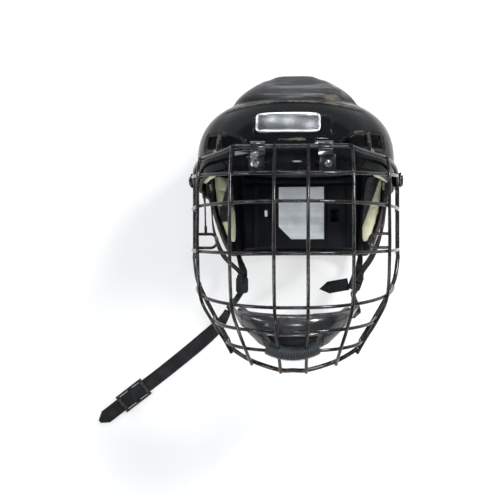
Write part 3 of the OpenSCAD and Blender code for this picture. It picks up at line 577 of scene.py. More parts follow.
@cache
def effect(name):
    """A shader node group with named inputs and outputs, built when a material first asks for it."""
    title, build, inputs, outputs = EFFECTS[name]
    tree = bpy.data.node_groups.new(title, "ShaderNodeTree")
    tree.interface.new_socket("Vector", in_out="INPUT", socket_type="NodeSocketVector")
    for key, value in inputs.items():
        socket = tree.interface.new_socket(key, in_out="INPUT", socket_type="NodeSocketFloat")
        socket.default_value = value
    for key in outputs:
        tree.interface.new_socket(key, in_out="OUTPUT", socket_type="NodeSocketFloat")
    graph = Graph(tree)
    start = graph.node("NodeGroupInput").outputs
    graph.place, *values = (Value(graph, start[key]) for key in ("Vector", *inputs))
    graph.node("NodeGroupOutput", dict(zip(outputs, build(graph, *values))))
    return tree


class Finish(Graph):
    """A material under construction round one Principled shader. Colours go by their names."""

    def __init__(self, name, **sockets):
        self.material = bpy.data.materials.new(name)
        self.material.use_nodes = True
        super().__init__(self.material.node_tree)
        self.shader = self.node("ShaderNodeBsdfPrincipled")
        self.out = self.node("ShaderNodeOutputMaterial", {"Surface": self.shader.outputs[0]})
        for title, value in sockets.items():
            self.set(title.replace("_", " "), value)
        self.place = self.add("ShaderNodeTexCoord", out="Object")

    def feed(self, socket, value):
        if isinstance(value, str):
            value = (*getattr(bpy.context.scene.helmet_colours, value), 1.0)
        super().feed(socket, value)

    def set(self, title, value):
        self.feed(self.shader.inputs[title], value)

    def group(self, name, **inputs):
        node = self.node("ShaderNodeGroup", node_tree=effect(name))
        for title, value in {"Vector": self.place, **inputs}.items():
            self.feed(node.inputs[title], value)
        return [Value(self, socket) for socket in node.outputs]

    def kept(self, attribute):
        """A number kept on the mesh's points."""
        return self.add("ShaderNodeAttribute", out="Fac", attribute_name=attribute)

    def wear(self, scale, amount):
        return self.group("wear", Wear=self.kept("wear"), Scale=scale, Amount=amount)[0]

    def lines(self, scale, density):
        return self.group("scratches", Scale=scale, Density=density)[0]

    def done(self, colour, rough, height, distance, strength):
        """Sets the colour, the roughness and the relief, and hands the material over."""
        relief = {"Height": height, "Distance": distance, "Strength": strength}
        self.set("Base Color", colour)
        self.set("Roughness", rough)
        self.set("Normal", self.add("ShaderNodeBump", relief, "Normal"))
        return self.material


# Materials
def shell_finish():
    m = Finish("Gloss shell", Coat_Roughness=0.05, IOR=1.05)
    wear, lines = m.wear(90.0, 0.5), m.lines(26.0, 0.34)
    height, smudge = m.group("grain", Scale=1100.0)
    specks = m.span(m.noise(420.0, 4.0, 0.7), 0.66, 0.72)
    tone = m.blend(smudge * 0.5, "shell", "shell_sheen")
    tone = m.blend(m.sum("MAXIMUM", lines, specks) * 0.45, tone, "scuff_and_highlight")
    rough = m.sum("ADD", m.ranged(smudge, 0.13, 0.26) + lines * 0.15, wear * 0.4, clamp=True)
    streaks = m.span(m.noise(1.0, 3.0, 0.55, m.scaled((14, 110, 60))), 0.5, 0.6, 0.0, 0.5)
    dull = m.ranged(m.sum("MAXIMUM", wear, lines), 1.0, 0.1)
    m.set("Coat Weight", dull * (m.kept("polish") * streaks + 0.24))
    fine = height * 0.25 - (lines + wear)
    waves = m.noise(42.0, 3.0, 0.5)
    # The front shell's wear mark also carries painted highlight lines on its vent lips, ledge and crease.
    return m.done(m.blend(wear * 0.8, tone, "scuff_and_highlight"), rough, fine * 0.05 + waves, 0.0018, 0.8)


def plain_finish(name, group, scale, tones, rough, relief, mark=None, **sockets):
    """Two tones of one effect, and a third where the piece keeps a mark, such as painted shade in its grooves
    or sewn creases.
    """
    m = Finish(name, **sockets)
    height, stain = m.group(group, Scale=scale)
    tone = m.blend(stain, *tones)
    if mark:
        kept, share, deep = mark
        tone = m.blend(m.kept(kept) * share, tone, deep)
    return m.done(tone, m.ranged(stain, *rough), height, *relief)


def shell_inside_finish():
    return plain_finish("Shell inside", "grain", 700.0, ("lining", "shell_sheen"), (0.38, 0.55),
                        (0.00012, 0.7), IOR=1.45)


def pad_finish():
    # Sewn creases take the shell's near-black: painted shade.
    return plain_finish("Dark pad", "foam", 850.0, ("pad", "pad_light"), (0.42, 0.62), (0.00016, 0.8),
                        ("shaded_crease", 1.0, "shell"), Sheen_Weight=0.1, Sheen_Roughness=0.45,
                        Sheen_Tint="pad_light", IOR=1.25)


def lip_finish():
    # The grooves between the ribs and the thin ends take the pads' near-black: painted shade.
    return plain_finish("Lip rubber", "grain", 1300.0, ("lip", "lip_light"), (0.36, 0.52), (0.0001, 0.6),
                        ("groove", 0.75, "pad"), IOR=1.45)


def cup_foam_finish():
    return plain_finish("Cup foam", "foam", 800.0, ("cup_foam", "pad"), (0.6, 0.85), (0.0002, 0.8),
                        Sheen_Weight=0.2, Sheen_Roughness=0.5, IOR=1.4)


def plate_finish():
    m = Finish("Silver plate", Metallic=0.85, IOR=1.5, Coat_Weight=0.25, Coat_Roughness=0.15)
    brushed = m.noise(1.0, 3.0, 0.6, m.scaled((60, 1400, 1400)))
    wear = m.wear(240.0, 0.4)
    tone = m.blend(m.kept("rim"), m.blend(brushed, "plate_face", "plate_light"), "plate_rim")
    return m.done(m.blend(wear * 0.6, tone, "shell_sheen"),
                  m.span(brushed, 0.3, 0.7, 0.24, 0.4) + wear * 0.25, brushed - wear, 0.00004, 0.6)


def patch_finish():
    m = Finish("Grey patch", Metallic=0.1, IOR=1.48)
    bands = m.noise(1.0, 2.0, 0.5, m.scaled((3, 120, 3)))
    _, soil = m.group("foam", Scale=900.0)
    faded = m.blend(m.span(bands, 0.4, 0.62), "patch", "patch_dark")
    return m.done(m.blend(soil * 0.5, faded, "patch_dark"), m.ranged(soil, 0.32, 0.55),
                  m.noise(260.0, 3.0, 0.55), 0.0004, 0.5)


def foam_finish():
    m = Finish("Cream foam", Sheen_Weight=0.2, Sheen_Roughness=0.6, IOR=1.4)
    height, stain = m.group("foam", Scale=620.0)
    pits = m.noise(420.0, 4.0, 0.7)
    tone = m.blend(stain * 0.7, "foam", "foam_stain")
    tone = m.blend(m.span(pits, 0.58, 0.7, 0.0, 0.6), tone, "foam_stain")
    return m.done(m.blend(m.kept("cover"), tone, "pad"), m.span(height, 0.4, 1.6, 0.75, 0.95),
                  height + pits * 1.2, 0.0005, 0.8)


RUBBED_PLASTIC = (0.16, 0.15, 0.14, 1)


def plastic_finish(name, tones, rough, coat, scale=900.0, index=1.48):
    """Moulded plastic with grain, smudges and worn edges."""
    m = Finish(name, IOR=index, Coat_Weight=coat, Coat_Roughness=0.06)
    height, smudge = m.group("grain", Scale=scale)
    wear = m.wear(300.0, 0.45)
    return m.done(m.blend(wear * 0.5, m.blend(smudge, *tones), RUBBED_PLASTIC),
                  m.ranged(smudge, rough, rough + 0.14) + wear * 0.2, height, 0.0001, 0.6)


def cup_finish():
    m = Finish("Cup plastic", IOR=1.5, Coat_Weight=0.5, Coat_Roughness=0.1)
    height, smudge = m.group("grain", Scale=800.0)
    wear, lines = m.wear(130.0, 0.4), m.lines(40.0, 0.42)
    tone = m.blend(lines * 0.4, m.blend(smudge, "cup", "clip_light"), "scuff_and_highlight")
    return m.done(m.blend(wear * 0.7, tone, "scuff_and_highlight"), m.ranged(smudge, 0.16, 0.34) + wear * 0.3,
                  height * 0.5 - lines, 0.00012, 0.6)


def wire_finish(name, wear_scale, shine):
    """Coated wire, whose coat is rubbed thin in places and rusts round the welds."""
    m = Finish(name, IOR=1.3, Coat_Roughness=0.1)
    dents, grain = m.noise(170.0, 2.0, 0.5), m.noise(800.0, 3.0, 0.6)
    rusty = m.span(m.noise(330.0, 4.0, 0.65) + m.kept("rust") * 0.3, 0.68, 0.82, 0.0, 0.85)
    bare = m.span(m.noise(wear_scale, 4.0, 0.6), 0.52, 0.72, 0.0, 0.5)
    m.set("Metallic", (1.0 - rusty) * m.ranged(bare, 0.1, 0.6))
    m.set("Coat Weight", m.ranged(rusty, 0.35, 0.0))
    tone = m.blend(rusty, m.blend(bare, "wire", "wire_worn"), m.blend(grain, "rust_dark", "rust"))
    rough = m.sum("ADD", m.ranged(bare, shine, shine + 0.14), rusty * 0.45, clamp=True)
    return m.done(tone, rough, (grain * 0.1 + rusty * grain) * 0.25 + dents, 0.0007, 0.7)


def screw_finish():
    m = Finish("Screw steel", IOR=1.5)
    rusty = m.span(m.noise(650.0, 4.0, 0.65), 0.58, 0.72)
    m.set("Metallic", m.ranged(rusty, 1.0, 0.3))
    return m.done(m.blend(rusty, "steel", "rust_dark"), m.ranged(rusty, 0.34, 0.75),
                  m.noise(1500.0, 2.0, 0.6), 0.00005, 0.5)


def webbing_finish():
    m = Finish("Webbing", Sheen_Weight=0.15, Sheen_Roughness=0.4, Sheen_Tint="thread", IOR=1.35)
    flat = m.add("ShaderNodeUVMap", out="UV", uv_map="Webbing")
    height, tint = m.group("weave", Vector=flat, Rib=0.0012, Yarn=0.0017)
    dirt = m.span(m.noise(70.0, 4.0, 0.6), 0.45, 0.7)
    # The grooves of the weave take the darker colour: painted shade.
    return m.done(m.blend(dirt * 0.4, m.blend(tint, "webbing_groove_shade", "webbing"), "lip"),
                  m.ranged(height, 0.8, 0.5), height, 0.00035, 0.9)


def thread_finish():
    m = Finish("Thread", Sheen_Weight=0.3, Sheen_Roughness=0.4, IOR=1.45)
    twist = m.add("ShaderNodeTexWave", {"Vector": m.place, "Scale": 900.0, "Distortion": 1.5}, "Fac")
    # The low bands of the twist take the webbing's near-black: painted shade in the grooves of the thread.
    return m.done(m.blend(twist, "webbing", "thread"), m.ranged(twist, 0.75, 0.5), twist, 0.0001, 0.8)


# Share of plain white in the floor near the helmet, and the distances between which it becomes all of it
FLOOR_LIFT, LIFT_NEAR, LIFT_FAR = 0.42, 0.3, 0.8


def floor_finish():
    """White paper, lifted towards plain white for what sees it, so that only a light shadow stays."""
    m = Finish("White floor", Roughness=0.9, IOR=1.3, Specular_IOR_Level=0.1)
    greyer = (*[0.99 * part for part in bpy.context.scene.helmet_colours.floor], 1.0)
    m.set("Base Color", m.blend(m.noise(40.0, 2.0, 0.5), "floor", greyer))
    path = m.node("ShaderNodeLightPath").outputs
    seen = m.sum("MAXIMUM", path["Is Camera Ray"], path["Is Glossy Ray"])
    seen = m.sum("MAXIMUM", seen, path["Is Transmission Ray"])
    away = m.add("ShaderNodeVectorMath", {0: m.place}, "Value", operation="LENGTH")
    lift = m.span(away, LIFT_NEAR, LIFT_FAR, FLOOR_LIFT, 1.0)
    white = m.add("ShaderNodeEmission", {"Color": (1, 1, 1, 1), "Strength": 1.0})
    both = m.add("ShaderNodeMixShader", {0: seen * lift, 1: m.shader.outputs[0], 2: white})
    m.feed(m.out.inputs["Surface"], both)
    return m.material


BLACK_PLASTIC = ("shell", "shell_sheen")
FINISHES = {
    "shell": (shell_finish,), "inside": (shell_inside_finish,), "plate": (plate_finish,),
    "patch": (patch_finish,), "pad": (pad_finish,), "foam": (foam_finish,), "cup": (cup_finish,),
    "lip": (lip_finish,), "cup_foam": (cup_foam_finish,), "screw": (screw_finish,),
    "webbing": (webbing_finish,), "thread": (thread_finish,), "floor": (floor_finish,),
    "clip": (plastic_finish, "Clip plastic", BLACK_PLASTIC, 0.24, 0.2),
    "brow_clip": (plastic_finish, "Brow clip plastic", ("brow_clip", "shell_sheen"), 0.16, 0.6),
    "strap_plastic": (plastic_finish, "Strap plastic", BLACK_PLASTIC, 0.32, 0.0, 1200.0, 1.25),
    "frame_wire": (wire_finish, "Frame wire", 55.0, 0.2),
    "grille_wire": (wire_finish, "Grille wire", 75.0, 0.18)}


@cache
def finish(name):
    """A material, made when a piece first asks for it."""
    make, *values = FINISHES[name]
    return make(*values)


def paint(piece, *names):
    for name in names:
        piece.data.materials.append(finish(name))


# Geometry Nodes
def round_wire(g, path, radius, sides):
    """Round wire along the edges of a path, thicker or thinner by the path's own swell."""
    line = g.add("GeometryNodeSetCurveNormal", {"Curve": g.add("GeometryNodeMeshToCurve", {"Mesh": path})})
    ring = g.add("GeometryNodeCurvePrimitiveCircle", {"Resolution": sides})
    return g.add("GeometryNodeCurveToMesh", {"Curve": line, "Profile Curve": ring, "Fill Caps": True,
                                             "Scale": radius * g.named("swell")})


def copies_on_points(g, points, shape, size):
    """Copies of one small shape, each standing on its point's own normal and turned along its run."""
    one = g.add("GeometryNodeObjectInfo", {"Object": shape}, "Geometry")
    up, run = (g.named(name, "FLOAT_VECTOR") for name in ("up", "run"))
    upright = g.add("FunctionNodeAlignRotationToVector", {"Vector": up}, axis="Z")
    turned = g.add("FunctionNodeAlignRotationToVector", {"Rotation": upright, "Vector": run}, axis="X",
                   pivot_axis="Z")
    return g.add("GeometryNodeInstanceOnPoints", {"Points": points, "Instance": one, "Rotation": turned,
                                                  "Scale": size * g.named("scale")})


SHAPE_TREES = {"wire": ("Round wire", round_wire, {"Radius": "Float", "Sides": "Int"}),
               "copies": ("Copies on points", copies_on_points, {"Shape": "Object", "Size": "Float"})}


@cache
def shape_tree(key):
    """A geometry tree with named inputs, whose result is made real, smooth and painted."""
    title, build, inputs = SHAPE_TREES[key]
    tree = bpy.data.node_groups.new(title, "GeometryNodeTree")
    kinds = {"Geometry": "Geometry", **inputs, "Material": "Material"}
    for name, kind in kinds.items():
        tree.interface.new_socket(name, in_out="INPUT", socket_type="NodeSocket" + kind)
    tree.interface.new_socket("Geometry", in_out="OUTPUT", socket_type="NodeSocketGeometry")
    g = Graph(tree)
    start = g.node("NodeGroupInput").outputs
    *values, material = (Value(g, start[name]) for name in kinds)
    made = g.add("GeometryNodeRealizeInstances", {"Geometry": build(g, *values)})
    made = g.add("GeometryNodeSetShadeSmooth", {"Geometry": made})
    made = g.add("GeometryNodeSetMaterial", {"Geometry": made, "Material": material})
    g.node("NodeGroupOutput", {"Geometry": made})
    return tree


def grown(piece, key, **inputs):
    """Runs a geometry tree on the piece, and keeps what it makes as a plain mesh."""
    nodes = piece.modifiers.new("Nodes", "NODES")
    nodes.node_group = shape_tree(key)
    for item in nodes.node_group.interface.items_tree:
        if item.in_out == "INPUT" and item.name in inputs:
            nodes[item.identifier] = inputs[item.name]
    return settle(piece)


def wire(name, path, radius, sides, material, swell=1.0, rust=0.0):
    """A round wire along a path, with its rust kept on its points."""
    steps = [(k, k + 1) for k in range(len(path) - 1)]
    piece = new_piece(name, path, [], steps, smooth=False)
    # On the lip, where a wire is thinner than its swell, the groove mark asks for painted shade.
    for title, values in (("swell", swell), ("rust", rust), ("groove", 1 - swell)):
        store(piece, title, values)
    return grown(piece, "wire", Radius=radius, Sides=sides, Material=finish(material))


def copies(name, shape, places, ups, runs, material, size, scales=1.0):
    """One mesh of copies of a shape at the places given; the shape itself is used up."""
    points = new_piece(name, places, [], smooth=False)
    for title, values in (("up", ups), ("run", runs)):
        layer = points.data.attributes.new(title, "FLOAT_VECTOR", "POINT")
        values = np.broadcast_to(values, (len(places), 3))
        layer.data.foreach_set("vector", np.asarray(values, np.float32).ravel())
    store(points, "scale", scales)
    grown(points, "copies", Shape=shape, Size=size, Material=finish(material))
    bpy.data.objects.remove(shape, do_unlink=True)
    return points


def length(title, text, millimetres):
    return FloatProperty(name=title, description=text, default=millimetres * MM, unit="LENGTH")


class HelmetSizes(PropertyGroup):
    """Sizes of the dressing that a user may change; the CAD model gives all others."""

    rim_round: length("Rim rounding", "Rounding of the shells' rims and vents", 0.8)
    step: length("Shell step", "Height of the moulded steps of the front shell", 1.2)
    pad_cap: length("Pad swelling", "How far a pad may swell", 2.4)
    pad_voxel: length("Pad voxel", "Mesh size of the pads' cloth", 3.2)
    wire: length("Grille wire", "Diameter of the grille wires", 3.2)
    frame: length("Frame wire", "Diameter of the frame wire", 4.2)
    webbing: length("Webbing width", "Width of the loose strap", 16)
    webbing_t: length("Webbing thickness", "Thickness of all straps", 1.4)
    stitch: length("Stitch length", "Length of one stitch", 2.4)
    ribs: IntProperty(name="Lip ribs", description="Ribs round the chin cup's lip", default=34)
    lens: FloatProperty(name="Lens", description="Focal length of the camera in millimetres", default=86.0)
    key_power: FloatProperty(name="Key lamp", description="Power of the large lamp", default=24.0,
                             unit="POWER")
    fill: FloatProperty(name="Surrounding light", description="Strength of the surrounding light",
                        default=1.0)


def colour(title, text, *value):
    return FloatVectorProperty(name=title, description=text, default=value, subtype="COLOR", size=3,
                               min=0.0, max=1.0)


class HelmetColours(PropertyGroup):
    """Colours of the finishes."""

    shell: colour("Shell", "Gloss shell and black plastic", 0.004, 0.005, 0.006)
    shell_sheen: colour("Shell smudges", "Smudged parts of black plastic", 0.011, 0.013, 0.015)
    # Also the colour of painted highlight lines on the front shell.
    scuff_and_highlight: colour("Scuffs", "Rubbed edges of the shell", 0.12, 0.108, 0.09)
    lining: colour("Shell inside", "Inside of the shells", 0.009, 0.0105, 0.016)
    plate_face: colour("Plate face", "Face of the forehead plate", 0.06, 0.062, 0.066)
    plate_light: colour("Plate brushed", "Brushed lines of the forehead plate", 0.16, 0.165, 0.17)
    plate_rim: colour("Plate rim", "Raised rim of the forehead plate", 0.72, 0.73, 0.75)
    patch: colour("Patch", "Blank patch on the rear pad", 0.93, 0.98, 1.0)
    patch_dark: colour("Patch bands", "Faded bands of the patch", 0.74, 0.8, 0.84)
    pad: colour("Pads", "Dark pads", 0.003, 0.0045, 0.006)
    pad_light: colour("Pads, worn", "Worn parts of the dark pads", 0.007, 0.01, 0.0135)
    foam: colour("Foam", "Cream foam", 0.8, 0.79, 0.56)
    foam_stain: colour("Foam stains", "Stains of the cream foam", 0.52, 0.5, 0.3)
    brow_clip: colour("Brow clips", "Clips of the hinge bar", 0.008, 0.0085, 0.01)
    clip_light: colour("Clips, worn", "Worn parts of clips and cup", 0.05, 0.051, 0.057)
    cup: colour("Chin cup", "Chin cup plastic", 0.008, 0.009, 0.011)
    lip: colour("Lip", "Ribbed lip of the chin cup", 0.03, 0.036, 0.04)
    lip_light: colour("Lip, worn", "Worn ribs of the lip", 0.06, 0.07, 0.076)
    cup_foam: colour("Cup foam", "Pad of the chin cup", 0.008, 0.008, 0.009)
    wire: colour("Wire", "Coat of the cage wires", 0.011, 0.0105, 0.011)
    wire_worn: colour("Wire, worn", "Rubbed coat of the cage wires", 0.08, 0.074, 0.074)
    rust: colour("Rust", "Bright rust", 0.22, 0.12, 0.06)
    rust_dark: colour("Rust, dark", "Dark rust", 0.06, 0.035, 0.022)
    steel: colour("Steel", "Screws and studs", 0.2, 0.2, 0.21)
    webbing: colour("Webbing", "Yarns of the webbing", 0.006, 0.006, 0.007)
    # Painted shade in the grooves of the webbing
    webbing_groove_shade: colour("Webbing grooves", "Grooves of the webbing", 0.004, 0.004, 0.005)
    thread: colour("Thread", "Stitching thread", 0.035, 0.035, 0.04)
    floor: colour("Floor", "White paper under the helmet", 0.93, 0.93, 0.93)


class Step(Operator):
    """Base of all the steps of the dressing."""

    bl_options = {"REGISTER", "UNDO"}

    def execute(self, context):
        self.make(context, context.scene.helmet_sizes)
        return {"FINISHED"}


# Lamps: name, place, width, height, share of the key lamp's power and, if it isn't white, tint
LAMPS = [
    ("Key", (0.75, 0.6, 1.35), 0.34, 0.3, 1),
    ("Side", (-1.15, 0.25, 0.8), 0.1, 0.6, 0.15, (0.9, 0.95, 1)),
    ("Window 1", (-0.42, 1.25, 0.6), 0.15, 0.18, 0.1, (0.92, 0.96, 1)),
    ("Window 2", (-0.1, 1.2, 0.72), 0.15, 0.21, 0.1, (0.92, 0.96, 1)),
    ("Window 3", (0.3, 1.15, 0.84), 0.15, 0.24, 0.1, (0.92, 0.96, 1)),
    ("Low", (0.2, -1.2, 0.9), 0.7, 0.12, 0.15),
    ("Left", (-1.3, -0.5, 1.5), 0.28, 0.28, 0.4),
    ("Front", (0.08, -0.3, 1.75), 0.22, 0.22, 0.2)]
LIT_PLACE = Vector((0, 0, 0.15))
CAMERA_PLACE, CAMERA_TURN = (0.0371, -0.049, 1.3665), (0.0083, 0.0691, -0.0017)
FLOOR_HALF = 4.0
GLOW, ROOM = (1, 1, 1, 1), (0.13, 0.14, 0.155, 1)


class HELMET_OT_stage(Step):
    """Camera over the face, white floor and soft studio light from the upper right"""

    bl_idname = "helmet.stage"
    bl_label = "Stage"

    def make(self, context, sizes):
        scene = context.scene
        data = bpy.data.cameras.new("Camera")
        data.lens = sizes.lens
        data.sensor_width = 36
        data.clip_end = 20
        scene.camera = placed("Camera", data)
        scene.camera.location = CAMERA_PLACE
        scene.camera.rotation_euler = CAMERA_TURN
        scene.view_settings.view_transform = "Standard"
        for lamp in LAMPS:
            self.light(sizes.key_power, *lamp)
        self.surroundings(scene, sizes)
        floor = [(x * FLOOR_HALF, y * FLOOR_HALF, 0) for x, y in ((-1, -1), (1, -1), (1, 1), (-1, 1))]
        sheet = new_piece("floor", floor, [(0, 1, 2, 3)])
        paint(sheet, "floor")

    def light(self, power, name, place, width, height, share, tint=(1, 1, 1)):
        data = bpy.data.lights.new(name, "AREA")
        data.shape = "RECTANGLE"
        data.size, data.size_y = width, height
        data.energy = power * share
        data.color = tint
        lamp = placed(name, data)
        lamp.location = place
        lamp.rotation_euler = (LIT_PLACE - Vector(place)).to_track_quat("-Z", "Y").to_euler()

    def surroundings(self, scene, sizes):
        """A white floor's glow low down and a dim room over it, so that black gloss stays black."""
        world = bpy.data.worlds.new("Surroundings")
        world.use_nodes = True
        graph = Graph(world.node_tree)
        way = graph.add("ShaderNodeTexCoord", out="Generated")
        height = graph.add("ShaderNodeSeparateXYZ", {"Vector": way}, "Z")
        tone = graph.blend(graph.span(height, -0.02, 0.14), GLOW, ROOM)
        light = graph.add("ShaderNodeBackground", {"Color": tone, "Strength": sizes.fill})
        graph.node("ShaderNodeOutputWorld", {"Surface": light})
        scene.world = world


# The front shell
FRONT_RUN_END = 90 + (FRONT_CORE_Z - FRONT_EDGE_Z) / MM
FRONT_TURN_STEP = 1.25
RUN_STEP = 3.0
RIM_ROWS = 12


def front_edge(s):
    return mix(BROW_Y, TEMPLE_Y, ease((np.abs(s) - 55) / 35))


def ledge_y(x):
    """Height of the moulded ledge that runs across the brow under the ridge."""
    return 101.5 * MM - 5 * MM * (x / (60 * MM)) ** 2


def stations(turn_end, turn_step, run_end):
    turn = np.arange(0, turn_end + turn_step / 2, turn_step)
    run = np.linspace(90, run_end, int((run_end - 90) / RUN_STEP) + 1)[1:]
    half = np.concatenate([turn, run]) if run_end > 90 else turn
    return np.concatenate([-half[:0:-1], half])


def vent_roof(s):
    """Share of a wedge vent's height at station s: full at its outer end, a point towards the middle."""
    k = np.clip((np.abs(s) - WEDGE_VENT[0]) / (WEDGE_VENT[1] - WEDGE_VENT[0]), 0, 1)
    return 0.08 + 0.92 * np.sin(k * math.pi / 2 * 1.15) ** 0.8


LEVEL_Y = 88 * MM


def wedge_height(s, y):
    """Moves the rows of the shell's grid so that they follow the arched tops of the wedge vents."""
    near = 1 - ease((WEDGE_VENT[0] - np.abs(s)) / 10)
    past = 1 - ease((np.abs(s) - WEDGE_VENT[1]) / 1.2)
    share = mix(1, vent_roof(s), near * past)
    height = VENT_TOP_Y - VENT_LOW_Y
    roof = VENT_LOW_Y + height * share
    inside = VENT_LOW_Y + (y - VENT_LOW_Y) * share
    above = roof + (y - VENT_TOP_Y) * (LEVEL_Y - roof) / (LEVEL_Y - VENT_TOP_Y)
    return np.where(y < VENT_LOW_Y, y, np.where(y < VENT_TOP_Y, inside, np.where(y < LEVEL_Y, above, y)))


def clear_of(hole, s, y, per_degree=1.6):
    """Distance in millimetres from a hole, on its outside."""
    s0, s1, y0, y1 = hole
    beside = np.maximum(np.maximum(s0 - s, s - s1), 0) * per_degree
    over = np.maximum(np.maximum(y0 - y, y - y1), 0) / MM
    return np.hypot(beside, over)


def clear_of_vents(s, y):
    return np.minimum(*(clear_of((*vent, VENT_LOW_Y, VENT_TOP_Y), np.abs(s), y)
                        for vent in (WEDGE_VENT, SIDE_VENT)))


PANEL_X, PANEL_LOW, PANEL_HIGH = 36 * MM, 62.7 * MM, 86.7 * MM
CREASE_Y = 110 * MM
RIDGE_GROOVE = 66
POCKET = 1.7


def front_depth(s, y, step):
    """How deep the front shell's face lies under its outline: ledge, brow step, vent rims and panel."""
    x = front_point(s, y)[..., 0]
    a = np.abs(s)
    side_fade = 1 - ease((a - 48) / 14)
    under_ledge = ease((ledge_y(x) - y) / (1.6 * MM))
    depth = step * under_ledge * side_fade
    brow = ease((VENT_LOW_Y - 2.8 * MM - y) / (1.2 * MM)) * (1 - ease((a - 62) / 10))
    depth = depth + 0.3 * step * brow
    depth = depth + step * (1 - ease((clear_of_vents(s, y) - POCKET) / 0.9))
    over_x = ease((PANEL_X + 1 * MM - np.abs(x)) / (1.0 * MM))
    over_y = ease((y - PANEL_LOW + 0.7 * MM) / (0.8 * MM)) * ease((PANEL_HIGH + 0.7 * MM - y) / (0.8 * MM))
    depth = depth - 0.55 * step * over_x * over_y
    upper = ease((y - CREASE_Y) / (1.2 * MM)) * (1 - ease((np.abs(x) - 24 * MM) / (8 * MM)))
    groove = hill(a - RIDGE_GROOVE, 2.0) * ease((y - 100 * MM) / (5 * MM))
    return depth + 0.9 * step * upper + 0.9 * step * groove


def front_wear_and_highlights(s, y):
    """Where the front shell's gloss is rubbed: vent lips, brow edge, panel edges and the ridge. The thin
    light lines on the vent lips, the ledge and the ridge's crease are partly painted highlight.
    """
    x = front_point(s, y)[..., 0]
    wear = 0.75 * hill(y - front_edge(s), 1.6 * MM)
    pocket = clear_of_vents(s, y)
    wear = wear + hill(pocket - POCKET - 0.7, 0.8) * np.where(y > VENT_LOW_Y + 5 * MM, 0.5, 0.2)
    # Painted highlight: a thin light line right on the vent lips.
    wear = wear + 0.3 * hill(pocket, 0.8)
    # Thin light lines along the ledge and the crease, partly wear and partly painted highlight.
    wear = wear + 0.75 * hill(y - ledge_y(x), 0.9 * MM) * (1 - ease((np.abs(s) - 48) / 12))
    wear = wear + 0.5 * hill(y - CREASE_Y, 0.9 * MM) * (np.abs(x) < 26 * MM)
    panel_side = hill(np.abs(x) - PANEL_X, 0.8 * MM) * (y > PANEL_LOW) * (y < PANEL_HIGH)
    panel_side = panel_side + hill(y - PANEL_HIGH, 0.8 * MM) * (np.abs(x) < PANEL_X)
    panel_foot = hill(y - PANEL_LOW, 1.2 * MM) * (np.abs(x) < 14 * MM)
    wear = wear + 0.5 * panel_side + 0.7 * panel_foot
    rubbed = np.exp(-((x - 38 * MM) / (11 * MM)) ** 2 - ((y - 107 * MM) / (5 * MM)) ** 2)
    top = ease((y - 130 * MM) / (6 * MM)) * 0.08
    return np.clip(wear + 0.75 * rubbed + top, 0, 1)


def cell_mask(cols, rows, holes):
    """Cells of a grid that stay: those whose middles lie in none of the holes."""
    s = (cols[:-1] + cols[1:]) / 2
    y = (rows[:-1] + rows[1:]) / 2
    keep = np.ones((len(y), len(s)), bool)
    for s0, s1, y0, y1 in holes:
        keep[np.ix_((y > y0) & (y < y1), (s > s0) & (s < s1))] = False
    return keep


def both_sides(s0, s1, y0, y1):
    return [(s0, s1, y0, y1), (-s1, -s0, y0, y1)]


def snapped(values, marks):
    """Moves the nearest of the values on to each mark, so that holes end on grid lines."""
    values = np.array(values, float)
    for mark in marks:
        values[np.argmin(np.abs(values - mark))] = mark
    return values


CAP_SPLITS = 16


def cap_cells(start, rows, cols):
    """Points and faces of the crown's flat, spun between the two halves of a shell's last row."""
    mid = cols // 2
    left, right = rows[-1, :mid + 1, None], rows[-1, :cols - 2 - mid:-1, None]
    points = mix(left, right, np.linspace(0, 1, CAP_SPLITS + 1)[:, None])
    return points.reshape(-1, 3), grid_faces(mid + 1, CAP_SPLITS + 1, start=start)


def rolled(piece, sizes, soft, node, body):
    """Ends a shell: softens its crown by a height, rolls its rims and lets it stand for its node."""
    eased_out(piece, lambda co: co.y > CROWN_Y - soft, 2)
    merged(piece)
    paint(piece, "shell", "inside")
    thickened(piece, WALL, sizes.rim_round, inner_slot=1)
    stand_in(piece, node, body, "shell_gloss")


class HELMET_OT_front_shell(Step):
    """Front shell with its ridge, steps, panel, brow vents and rolled rims"""

    bl_idname = "helmet.front_shell"
    bl_label = "Front shell"

    def make(self, context, sizes):
        marks = [side * s for side in (-1, 1) for s in (*WEDGE_VENT, *SIDE_VENT)]
        cols = snapped(stations(90, FRONT_TURN_STEP, FRONT_RUN_END), marks)
        upper = snapped(np.arange(WIDE_Y + 4 * MM, CROWN_Y + 0.5 * MM, 1 * MM), [VENT_LOW_Y, VENT_TOP_Y])
        upper[-1] = CROWN_Y
        rim = np.linspace(0, 1, RIM_ROWS + 1)[:-1]
        rows = np.concatenate([rim * 0.02, upper])
        s = np.tile(cols, (len(rows), 1))
        low = front_edge(cols)[None]
        y = np.vstack([mix(low, upper[0], rim[:, None]), np.tile(upper[:, None], (1, len(cols)))])
        grid = skin(front_point, s, wedge_height(s, y), front_depth(s, y, sizes.step))
        keep = cell_mask(cols, rows, both_sides(*WEDGE_VENT, VENT_LOW_Y, VENT_TOP_Y)
                         + both_sides(*SIDE_VENT, VENT_LOW_Y, VENT_TOP_Y))
        faces = grid_faces(len(rows), len(cols), keep=keep)
        cap, cap_faces = cap_cells(grid.size // 3, grid, len(cols))
        piece = new_piece("shell_front", np.vstack([grid.reshape(-1, 3), cap]), faces + cap_faces)
        store(piece, "wear", np.concatenate([front_wear_and_highlights(s, y).ravel(), np.full(len(cap), 0.08)]))
        polish = ease((y - 96 * MM) / (6 * MM)) * (1 - ease((np.abs(s) - 44) / 16))
        store(piece, "polish", np.concatenate([polish.ravel(), np.zeros(len(cap))]))
        rolled(piece, sizes, 1.6 * MM, "front_shell", "helmet")


